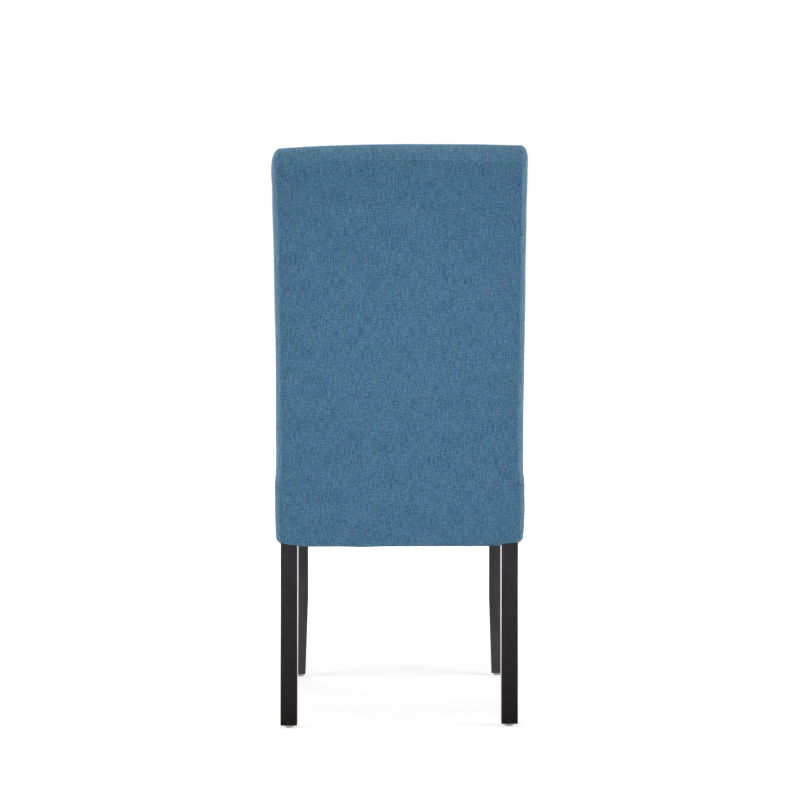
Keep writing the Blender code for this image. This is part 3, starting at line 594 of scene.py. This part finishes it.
def rumple(bm, amount):
    """Adds the cloth's own unevenness over its filling."""
    bm.normal_update()
    for vertex in bm.verts:
        broad = noise.noise(vertex.co * BROAD_WAVES)
        fine = noise.noise(vertex.co * FINE_WAVES + FINE_PLACE)
        vertex.co += vertex.normal * amount * (0.7 * broad + 0.3 * fine)


def new_piece(name, bm, material, subdivide=1):
    """A finished piece that rides on the chair, smoothed by subdivision unless that is 0."""
    mesh = bpy.data.meshes.new(name)
    bm.to_mesh(mesh)
    bm.free()
    mesh.shade_smooth()
    mesh.materials.append(material)
    piece = bpy.data.objects.new(name, mesh)
    bpy.context.scene.collection.objects.link(piece)
    if subdivide:
        smoothing = piece.modifiers.new("smoothing", "SUBSURF")
        smoothing.levels = subdivide
        smoothing.render_levels = subdivide
    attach(piece, "root")
    return piece


YARN = 0.00105
WEAVE_DEPTH = 0.00025
LINEN_DARK = (0.023, 0.080, 0.155)
LINEN_MIDDLE = (0.066, 0.169, 0.280)
LINEN_LIGHT = (0.125, 0.276, 0.418)
# Painted shade for the hollows between the yarns.
YARN_GAP_PAINTED_SHADE = (0.022, 0.068, 0.120, 1)
COOL_TINT, WARM_TINT = (0.89, 1.03, 0.99, 1), (1.11, 0.97, 1.01, 1)
GREEN_TINT, VIOLET_TINT = (0.99, 1.035, 0.92, 1), (1.01, 0.965, 1.08, 1)
# The cloth as it is, and as lightened and warmed along its rounded edges by painted sheen.
NO_SHEEN_TINT, PAINTED_SHEEN_TINT = (1, 1, 1, 1), (1.22, 1.05, 0.94, 1)
SHEEN_TINT = (1.0, 0.97, 0.92, 1)


def blue_linen():
    """Plain-woven polyester with a linen look: heathered blue yarns of uneven thickness."""
    material, shader, place = new_finish(
        "blue_linen", 0.86, Specular_IOR_Level=0.20, Sheen_Weight=0.40, Sheen_Roughness=0.35
    )
    shader.inputs["Sheen Tint"].default_value = SHEEN_TINT
    cloth = place.node("UVMap", uv_map="weave")
    across = cloth.node("SeparateXYZ", {"Vector": cloth})
    along = cloth.node("SeparateXYZ", {"Vector": cloth}, output=1)
    warp = (across * (math.pi / YARN)).maths("SINE")
    weft = (along * (math.pi / YARN)).maths("SINE")
    over = (warp * weft * 3.0 + 0.5).held()
    warp_tone = cloth.noise(600, 1, 0.5, (1, 0.14, 1))
    weft_tone = cloth.noise(600, 1, 0.5, (0.20, 1, 1))
    speckle = cloth.noise(430, 1, 0.6)
    slub = cloth.noise(520, 1, 0.5, (1, 0.09, 1))
    cross_slub = cloth.noise(520, 1, 0.5, (0.14, 1, 1))
    patch = cloth.noise(30, 3, 0.65)
    yarn_tone = over * warp_tone + (1 - over) * weft_tone
    layers = ((yarn_tone, 1.1), (speckle, 1.85), (slub, 0.85), (cross_slub, 0.60), (patch, 0.38))
    tone = 0.5 - sum(weight for layer, weight in layers) / 2
    for layer, weight in layers:
        tone = tone + layer * weight
    tone = tone.held()
    shade = tone.node(
        "ValToRGB",
        {"Fac": tone},
        stops=((0.0, LINEN_DARK), (1.0, LINEN_LIGHT), (0.5, LINEN_MIDDLE)),
    )
    warmth = (cloth.noise(62, 4, 0.65) * 2.8 - 0.9).held()
    shade = shade.tinted(warmth.mixed(COOL_TINT, WARM_TINT))
    violet = (cloth.noise(56, 4, 0.65) * 2.8 - 0.9).held()
    shade = shade.tinted(violet.mixed(GREEN_TINT, VIOLET_TINT))
    # Painted sheen and highlight: the cloth turns lighter and warmer towards its rounded edges, at
    # the rims and the top band.
    edge = place.node("Attribute", {}, output=2, attribute_name="edge").maths("POWER", 0.6)
    wear_and_painted_sheen = (edge * (place.noise(60, 3, 0.6) * 1.2 + 0.4)).held()
    shade = shade.tinted(wear_and_painted_sheen.mixed(NO_SHEEN_TINT, PAINTED_SHEEN_TINT))
    height = over * warp.maths("ABSOLUTE") + (1 - over) * weft.maths("ABSOLUTE")
    # Painted shade in the hollows where the yarns dip apart.
    painted_gap_shade = (1 - height).maths("POWER", 3.0) * 0.2
    painted_gap_shade.mixed(shade, YARN_GAP_PAINTED_SHADE).into(shader, "Base Color")
    (0.78 + speckle * 0.2).into(shader, "Roughness")
    relief(height * 0.7 + tone * 0.5, shader, WEAVE_DEPTH, 0.4)
    return material


LINEN = blue_linen()
SHRINK = 0.0015
SLACK = 0.001
MOST_SWELL = 0.0055
SEAT_RUMPLE = 0.0012
SEAM_REACH = CORNER * 0.35
SEAM_CREASE = 0.0012
CREASE_END = 0.002

bm = padded_block(
    (-HALF, FRONT, HEM),
    (HALF, SEAT_REAR, SEAT_EDGE),
    (CORNER, CORNER, HEM_ROUND),
    (CORNER, CORNER, EDGE_ROUND),
    (
        SEAM_CUTS + [-LEG_INNER, LEG_INNER],
        [SEAT_TUCK, SEAT_TUCK + GROOVE, FRONT_LEG_REAR],
        [BAND_TOP - GROOVE, BAND_TOP],
    ),
    lay_seat,
)
holds = [hold_seat(vertex.co) for vertex in bm.verts]
seams = [
    abs(vertex.co.x) > HALF - SEAM_REACH and vertex.co.y < FRONT + SEAM_REACH
    for vertex in bm.verts
]
for vertex in bm.verts:
    vertex.co = shape_seat(vertex.co)
settled(bm, holds, SHRINK, SLACK, MOST_SWELL)
rumple(bm, SEAT_RUMPLE)
bm.normal_update()
for vertex, seam in zip(bm.verts, seams):
    if seam and vertex.co.z > HEM + CREASE_END:
        vertex.co -= vertex.normal * SEAM_CREASE
seat = new_piece("seat_upholstery", bm, LINEN)
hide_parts("seat_cover", "seat_foam", "seat_edge_wadding")

# Inside back. Foam on the straps, wadding over its edges, and a sleeve of the same cloth that runs
# down the front, round both sides and over the top, and ends in the seam of the outside back.

THICKNESS = 0.0803
PADDING = 0.0339
SEAT_TOP = 0.4795
BACK_CORNER = 0.0125
FRONT_ROUND = 0.020
REAR_ROUND = 0.016
TOP_ROUND = 0.025
SLEEVE_SINK = 0.0005
SLEEVE_END_ROUND = 0.0006
LEVEL_SLUMP = 0.005
LEFT_SLUMP, LEFT_SLUMP_CURVE = 0.0052, 1.3
RIGHT_LIFT, RIGHT_LIFT_CURVE = 0.0042, 1.2


def slump(x, z):
    """How the sleeve sits lower at the sitter's left shoulder than at the right."""
    height = shared(z, SEAT_TOP, HEIGHT) ** 2
    even = LEVEL_SLUMP * (x / HALF) ** 2
    left = LEFT_SLUMP * shared(x, 0.0, HALF) ** LEFT_SLUMP_CURVE
    right = RIGHT_LIFT * shared(-x, 0.0, HALF) ** RIGHT_LIFT_CURVE
    return (even + left - right) * height


SHOULDER_START = 0.15
SHOULDER_OUT, SHOULDER_HEIGHT, SHOULDER_WIDTH = 0.0022, 0.998, 0.022
SHOULDER_IN, SHOULDER_IN_START = 0.0004, 1.018


def shoulder(x, z):
    """How the sitter's left shoulder stands out, and draws in again at its very top."""
    out = SHOULDER_OUT * swell(z, SHOULDER_HEIGHT, SHOULDER_WIDTH)
    drawn = SHOULDER_IN * shared(z, SHOULDER_IN_START, HEIGHT)
    return shared(x, SHOULDER_START, HALF) * (out - drawn)


SEAM_RIDGE = 0.0046
RIDGE_LINE = PANEL_TOP - 0.005
RIDGE_ABOVE, RIDGE_BELOW = 0.0115, 0.030
SIDE_RIDGE_SHARE = 0.4
SIDE_RIDGE_WIDTH = 0.008
RIDGE_REACH = 0.012
RIDGE_FADE = 0.03


def seam_ridge(x, y, z):
    """How far the cloth stands proud over the folded layers along the top and side seams."""
    ridge = swell(z, RIDGE_LINE, RIDGE_ABOVE if z > RIDGE_LINE else RIDGE_BELOW)
    ridge = max(ridge, SIDE_RIDGE_SHARE * swell(abs(x), PANEL_HALF, SIDE_RIDGE_WIDTH))
    above_seat = shared(z, BAND_TOP, BAND_TOP + RIDGE_FADE)
    return SEAM_RIDGE * ridge * shared(y, -RIDGE_REACH, 0.0) * above_seat


REAR_CROWN = 0.003
REAR_CROWN_TOP = HEIGHT - 0.022
FRONT_CROWN = 0.010


def shape_back(point):
    """Leans the back along its posts, crowns both faces and slumps the top."""
    x, y, z = point
    across = 1 - (x / HALF) ** 2
    front_share = shared(-y, CORNER, THICKNESS - FRONT_ROUND)
    rear_hump = math.sin(math.pi * shared(z, HEM, REAR_CROWN_TOP))
    front_hump = math.sin(math.pi * shared(z, SEAT_TOP, HEIGHT))
    rear_face = rear_line(z) + REAR_CROWN * across * rear_hump
    front_face = post_front(z) - PADDING + THICKNESS - FRONT_CROWN * across * front_hump
    moved_y = y + rear_face + seam_ridge(x, y, z) + (front_face - rear_face) * front_share
    moved_z = z - slump(x, z) + hem_rise(x, SEAT_REAR, z)
    return Vector((spread_x(x, z) + shoulder(x, z), moved_y, moved_z))


FRONT_MAP = 1


def lay_back(point, normal):
    """The sleeve's cloth from the front over the top, and round both sides."""
    x, y, z = point
    if abs(normal.x) > 0.5:
        return (math.copysign(HALF - y, x), z)
    if normal.y < -0.5:
        return (2 * HALF + THICKNESS - x + FRONT_MAP, z)
    if normal.z > 0.5:
        return (x, HEIGHT - y)
    if normal.z < -0.5:
        return (x + UNDERSIDE_MAP, y)
    return (x, z)


SEWN_FREE, SEWN_HELD = -0.055, -0.030
SEAT_HELD, SEAT_FREE = 0.470, 0.500


def hold_back(point):
    """How firmly the sleeve is held: at its seams behind and where it goes down into the seat."""
    x, y, z = point
    return max(shared(y, SEWN_FREE, SEWN_HELD), 1 - shared(z, SEAT_HELD, SEAT_FREE))


RUN_CUTS = (RECESS_RUN, 0.008, 0.004)
BACK_RUMPLE = 0.0010

bm = padded_block(
    (-HALF, -THICKNESS, BAND_TOP - SLEEVE_SINK),
    (HALF, 0, HEIGHT),
    (BACK_CORNER, FRONT_ROUND, SLEEVE_END_ROUND),
    (BACK_CORNER, REAR_ROUND, TOP_ROUND),
    (SEAM_CUTS, [], [PANEL_TOP - shift for shift in (*RUN_CUTS, GROOVE, 0, -GROOVE)]),
    lay_back,
)
holds = [hold_back(vertex.co) for vertex in bm.verts]
for vertex in bm.verts:
    x, y, z = vertex.co
    vertex.co = shape_back((x, recessed(x, y, z, 0.0), z))
settled(bm, holds, SHRINK, SLACK, MOST_SWELL)
rumple(bm, BACK_RUMPLE)
back = new_piece("back_upholstery", bm, LINEN)
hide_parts("inside_back_cover", "back_foam", "back_edge_wadding")

# Outside back. A panel of the cloth over thin wadding, closed into the sleeve's seam at the sides
# and top, and turned under the rear rail at the hem.

PANEL_DEPTH = 0.0040
PANEL_EDGE = 0.0003
PANEL_HEM_ROUND = 0.0030
EDGE_SHARE = 0.10
SEAM = 0.0001
SEAM_HELD, SEAM_FREE = 0.006, 0.030
FOLD_HELD, FOLD_FREE = 0.010, 0.035
PANEL_SLACK = 0.0005
PANEL_SWELL = 0.0012
PANEL_RUMPLE = 0.0010
PANEL_MAP, PANEL_INNER_MAP = 4, 6


def lay_panel(point, normal):
    """The panel's cloth hangs straight, on places of the map that no other cloth uses."""
    x, y, z = point
    return (x + (PANEL_MAP if normal.y > -0.5 else PANEL_INNER_MAP), z)


def hold_panel(point):
    """How firmly the panel is held: along its seams, at its hem and against the liner."""
    x, y, z = point
    at_side = 1 - shared(PANEL_HALF - abs(x), SEAM_HELD, SEAM_FREE)
    at_top = 1 - shared(PANEL_TOP - z, SEAM_HELD, SEAM_FREE)
    at_hem = 1 - shared(z, HEM + FOLD_HELD, HEM + FOLD_FREE)
    inner = 1.0 if y < -PANEL_DEPTH / 2 else 0.0
    return max(at_side, at_top, at_hem, inner)


bm = padded_block(
    (SEAM - PANEL_HALF, -PANEL_DEPTH, HEM),
    (PANEL_HALF - SEAM, 0, PANEL_TOP - SEAM),
    (PANEL_EDGE, PANEL_EDGE, PANEL_HEM_ROUND),
    (PANEL_EDGE, PANEL_EDGE, PANEL_EDGE),
    (
        [side * (PANEL_HALF - RECESS_RUN) for side in (-1, 1)] + [-LEG_INNER, LEG_INNER],
        [],
        [PANEL_TOP - shift for shift in RUN_CUTS],
    ),
    lay_panel,
)
holds = [hold_panel(vertex.co) for vertex in bm.verts]
for vertex in bm.verts:
    x, y, z = vertex.co
    full = shared(min(PANEL_HALF - abs(x), PANEL_TOP - z), 0.0, RECESS_RUN)
    vertex.co = shape_back((x, y * (EDGE_SHARE + (1 - EDGE_SHARE) * full), z))
settled(bm, holds, 0.0, PANEL_SLACK, PANEL_SWELL)
rumple(bm, PANEL_RUMPLE)
panel = new_piece("outside_back_panel", bm, LINEN)
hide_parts("outside_back_cover", "outside_back_wadding")

# Seam stitches. A fine row of blue thread beside the seam of the outside back, at the top and down
# both sides, each stitch a small raised loop that dips into the cloth at its ends.

STITCH_PITCH = 0.0040
STITCH_LENGTH = 0.0029
STITCH_WIDTH = 0.0009
STITCH_INSET = 0.0016
STITCH_LIFT = 0.00005
TOP_SLANT = Vector((1, 0.1, 0.08))
SIDE_SLANT = 0.06
THREAD_DARK, THREAD_LIGHT = (0.075, 0.175, 0.280, 1), (0.150, 0.290, 0.410, 1)
PLY_DEPTH = 0.0001

THREAD, shader, place = new_finish("blue_thread", 0.55, Sheen_Weight=0.2)
ply = place.noise(1500, 2)
ply.mixed(THREAD_DARK, THREAD_LIGHT).into(shader, "Base Color")
relief(ply, shader, PLY_DEPTH, 0.5)
bpy.context.view_layer.update()
sleeve_face = BVHTree.FromObject(back, bpy.context.evaluated_depsgraph_get())
bm = bmesh.new()


def stitch(x, z, along):
    """One stitch on the sleeve's rear face, where a line from behind meets it."""
    place, normal, _, _ = sleeve_face.ray_cast(Vector((x, 1, z)), Vector((0, -1, 0)))
    if place is None:
        return
    side = normal.cross(along).normalized()
    lie = Matrix((side.cross(normal), side, normal)).transposed().to_4x4()
    size = Matrix.Diagonal((STITCH_LENGTH, STITCH_WIDTH, STITCH_WIDTH, 1))
    bmesh.ops.create_uvsphere(
        bm,
        u_segments=6,
        v_segments=4,
        radius=0.5,
        matrix=Matrix.Translation(place + normal * STITCH_LIFT) @ lie @ size,
    )


run = PANEL_HALF + STITCH_INSET
count = round(2 * run / STITCH_PITCH)
for index in range(count + 1):
    x = run * (2 * index / count - 1)
    stitch(x, PANEL_TOP + STITCH_INSET - slump(x, PANEL_TOP), TOP_SLANT)
rise = PANEL_TOP - BAND_TOP
count = round(rise / STITCH_PITCH)
for index in range(1, count):
    z = BAND_TOP + rise * index / count
    for side in (-1, 1):
        stitch(side * run, z, Vector((SIDE_SLANT * side, 0, 1)))
new_piece("seam_stitches", bm, THREAD, subdivide=0)

# Dust cover. Thin black non-woven cloth, cut out round the legs and stapled under the seat rails.
# It sags a little in the middle.

(_, DUST_FRONT, _), (DUST_HALF, DUST_REAR, DUST_TOP) = corners("dust_cover")
DUST_CLOTH = 0.0008
NOTCH_X = 0.1815
NOTCH_FRONT = -0.2638
NOTCH_REAR = 0.1560
DUST_SAG = 0.0035
SAG_CURVE = 0.7
SAG_UNEVEN, SAG_WAVES = 0.3, 14
SAG_MARGIN = 0.012
SAG_REAR = 0.172
SAG_MIDDLE = -0.05
HEM_FOLLOWED = 0.9
DUST_DARK, DUST_LIGHT = (0.0045, 0.0045, 0.005, 1), (0.020, 0.020, 0.022, 1)
DOT_DEPTH = 0.0002

DUST, shader, place = new_finish("black_dust_cloth", 0.9, Specular_IOR_Level=0.25)
fibres = place.noise(420, 4, 0.7)
dots = place.node("TexVoronoi", {"Vector": place, "Scale": 620.0, "Randomness": 0.25})
fibres.mixed(DUST_DARK, DUST_LIGHT).into(shader, "Base Color")
(0.8 + fibres * 0.2).into(shader, "Roughness")
relief(dots * 0.6 + fibres * 0.4, shader, DOT_DEPTH, 0.6)


def dust_face(x, y):
    """Height of the stretched cloth's lower face, which follows the drawn-up hem."""
    return DUST_TOP - DUST_CLOTH + HEM_FOLLOWED * rear_hem_rise(x, y)


def dust_sag(x, y):
    """How far the cloth hangs below its stapled edges."""
    across = shared(DUST_HALF - abs(x), SAG_MARGIN, DUST_HALF)
    from_front = shared(y, DUST_FRONT + SAG_MARGIN, SAG_MIDDLE)
    from_rear = shared(-y, -SAG_REAR, -SAG_MIDDLE)
    inward = across * min(from_front, from_rear)
    uneven = 1 + SAG_UNEVEN * noise.noise(Vector((x, y, 0)) * SAG_WAVES)
    return DUST_SAG * inward**SAG_CURVE * uneven


bm = bmesh.new()
bmesh.ops.create_grid(bm, x_segments=48, y_segments=56, size=0.5)
spread = Matrix.Diagonal((2 * DUST_HALF, DUST_REAR - DUST_FRONT, 1, 1))
middle = Matrix.Translation((0, (DUST_REAR + DUST_FRONT) / 2, 0))
bmesh.ops.transform(bm, matrix=middle @ spread, verts=bm.verts)
for normal, place in (
    (Vector((1, 0, 0)), NOTCH_X),
    (Vector((1, 0, 0)), -NOTCH_X),
    (Vector((0, 1, 0)), NOTCH_FRONT),
    (Vector((0, 1, 0)), NOTCH_REAR),
):
    geometry = bm.verts[:] + bm.edges[:] + bm.faces[:]
    bmesh.ops.bisect_plane(bm, geom=geometry, plane_co=normal * place, plane_no=normal)
notches = []
for face in bm.faces:
    middle = face.calc_center_median()
    if abs(middle.x) > NOTCH_X and not NOTCH_FRONT < middle.y < NOTCH_REAR:
        notches.append(face)
bmesh.ops.delete(bm, geom=notches, context="FACES")
for vertex in bm.verts:
    x, y, _ = vertex.co
    vertex.co.z = dust_face(x, y) - dust_sag(x, y)
bmesh.ops.recalc_face_normals(bm, faces=bm.faces)
bmesh.ops.solidify(bm, geom=bm.faces[:], thickness=DUST_CLOTH)
dust_cloth = new_piece("dust_cloth", bm, DUST, subdivide=0)
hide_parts("dust_cover")

# Staples. Flat steel wire, shot through the dust cover's edge into the rails about 35 mm apart
# with a hand tool, so no two lie quite alike.

STAPLE_LENGTH = 0.0100
STAPLE_WIDTH = 0.0012
STAPLE_HEIGHT = 0.0006
STAPLE_INSET = 0.007
STAPLE_PITCH = 0.035
NOTCH_CLEAR = 0.015
MOST_SKEW, SKEW_WAVES = 0.35, 60

bm = bmesh.new()


def staple(x, y, turn):
    """One flat bar on the cloth's lower face."""
    size = Matrix.Diagonal((STAPLE_LENGTH, STAPLE_WIDTH, STAPLE_HEIGHT, 1))
    lie = Matrix.Translation((x, y, dust_face(x, y) - STAPLE_HEIGHT / 2))
    lie = lie @ Matrix.Rotation(turn, 4, "Z")
    bar = bmesh.ops.create_cube(bm, size=1, matrix=lie @ size)
    edges = list({edge for vertex in bar["verts"] for edge in vertex.link_edges})
    bmesh.ops.bevel(
        bm,
        geom=edges,
        offset=STAPLE_HEIGHT / 3,
        offset_type="OFFSET",
        affect="EDGES",
        segments=1,
        profile=0.5,
        material=-1,
    )


def staple_row(start, end):
    """Staples from one place to another, each a little off its line, as a hand tool leaves them."""
    start, end = Vector(start), Vector(end)
    count = round((end - start).length / STAPLE_PITCH)
    turn = math.atan2(end.y - start.y, end.x - start.x)
    for index in range(count + 1):
        place = start.lerp(end, index / count)
        skew = MOST_SKEW * noise.noise(Vector((place.x, place.y, 0)) * SKEW_WAVES)
        staple(place.x, place.y, turn + skew)


for side in (-1, 1):
    x = side * (DUST_HALF - STAPLE_INSET)
    staple_row((x, NOTCH_FRONT + NOTCH_CLEAR), (x, NOTCH_REAR - NOTCH_CLEAR))
for y in (DUST_FRONT + STAPLE_INSET, DUST_REAR - STAPLE_INSET):
    staple_row((NOTCH_CLEAR - NOTCH_X, y), (NOTCH_X - NOTCH_CLEAR, y))
new_piece("dust_cloth_staples", bm, ZINC, subdivide=0)

# Room. A white floor and backdrop, as in a studio, lit softly from above, from both sides and
# from each end. The lamps are round, and none of them shows itself to the camera.

LAMPS_AIM = Vector((0, 0.22, 0.66))


def new_light(name, place, size, watts, spread=180):
    """A round lamp that points at the chair's back."""
    lamp = bpy.data.lights.new(name, "AREA")
    lamp.shape = "DISK"
    lamp.size = size
    lamp.energy = watts
    lamp.spread = math.radians(spread)
    light = bpy.data.objects.new(name, lamp)
    light.location = place
    light.visible_camera = False
    light.rotation_mode = "QUATERNION"
    light.rotation_quaternion = (LAMPS_AIM - Vector(place)).to_track_quat("-Z", "Y")
    bpy.context.scene.collection.objects.link(light)


new_light("key", (-0.15, 2.1, 0.95), size=0.5, watts=0.76, spread=44)
new_light("side_left", (2.3, 0.45, 1.0), size=1.6, watts=42)
new_light("side_right", (-2.3, 0.45, 1.0), size=1.6, watts=42)
new_light("overhead", (0, 0.75, 2.7), size=1.2, watts=27)
new_light("front", (0.8, -2.8, 2.0), size=2.0, watts=40)


def seen_directly(start):
    """1 for what the camera, a gloss or clear glass sees, and 0 for other light."""
    path = start.node("LightPath", output="Is Camera Ray")
    gloss = start.node("LightPath", output="Is Glossy Ray")
    clear = start.node("LightPath", output="Is Transmission Ray")
    return (path + gloss + clear).held()


SKY_LIGHT = 0.12
world = bpy.data.worlds.new("studio")
bpy.context.scene.world = world
world.use_nodes = True
backdrop = world.node_tree.nodes["Background"]
backdrop.inputs["Color"].default_value = (1, 1, 1, 1)
sky = Wire(world.node_tree, backdrop.outputs[0])
(seen_directly(sky) * (1 - SKY_LIGHT) + SKY_LIGHT).into(backdrop, "Strength")

FLOOR_SIZE = 30
FLOOR_PAINT = (0.9, 0.9, 0.9, 1)
FLOOR_WHITE = 1.42
FLOOR_SHARE = 0.45
FLOOR_NEAR = 0.55
FLOOR_FAR = 1.10

bm = bmesh.new()
bmesh.ops.create_grid(bm, x_segments=1, y_segments=1, size=FLOOR_SIZE)
mesh = bpy.data.meshes.new("floor")
bm.to_mesh(mesh)
bm.free()
floor = bpy.data.objects.new("floor", mesh)
bpy.context.scene.collection.objects.link(floor)
material = bpy.data.materials.new("white_floor")
material.use_nodes = True
tree = material.node_tree
tree.nodes.remove(tree.nodes["Principled BSDF"])
output = tree.nodes["Material Output"]
start = Wire(tree, None)
paint = start.node("BsdfDiffuse", {"Color": FLOOR_PAINT})
glow = start.node("Emission", {"Color": (1, 1, 1, 1), "Strength": FLOOR_WHITE})
spot = start.node("TexCoord", output="Object")
away = spot.node("VectorMath", {0: spot}, output="Value", operation="LENGTH")
limits = {"From Min": FLOOR_NEAR, "From Max": FLOOR_FAR, "To Min": FLOOR_SHARE, "Value": away}
share = seen_directly(start) * away.node("MapRange", limits)
start.node("MixShader", {0: share, 1: paint, 2: glow}).into(output, "Surface")
mesh.materials.append(material)

# Camera. A long lens behind the chair, a little above its middle and to one side of it, turned
# and tilted a few degrees, with its frame shifted sideways as the photograph's is.

CAMERA_PLACE = (0.014, 3.797, 0.784)
CAMERA_TURN = 180 - 3.12
CAMERA_TILT = 90 - 3.07
CAMERA_ROLL = 0.23
LENS_LENGTH = 90.38
SENSOR_WIDTH = 36.0
SIDEWAYS_SHIFT = -0.1268
SEEN_AS_FAR_AS = 100

lens = bpy.data.cameras.new("camera")
lens.lens = LENS_LENGTH
lens.sensor_width = SENSOR_WIDTH
lens.shift_x = SIDEWAYS_SHIFT
lens.clip_end = SEEN_AS_FAR_AS
camera = bpy.data.objects.new("camera", lens)
camera.location = CAMERA_PLACE
aim = Matrix.Rotation(math.radians(CAMERA_TURN), 3, "Z")
aim = aim @ Matrix.Rotation(math.radians(CAMERA_TILT), 3, "X")
aim = aim @ Matrix.Rotation(math.radians(CAMERA_ROLL), 3, "Z")
camera.rotation_euler = aim.to_euler()
bpy.context.scene.collection.objects.link(camera)
bpy.context.scene.camera = camera
bpy.context.scene.view_settings.view_transform = "Standard"
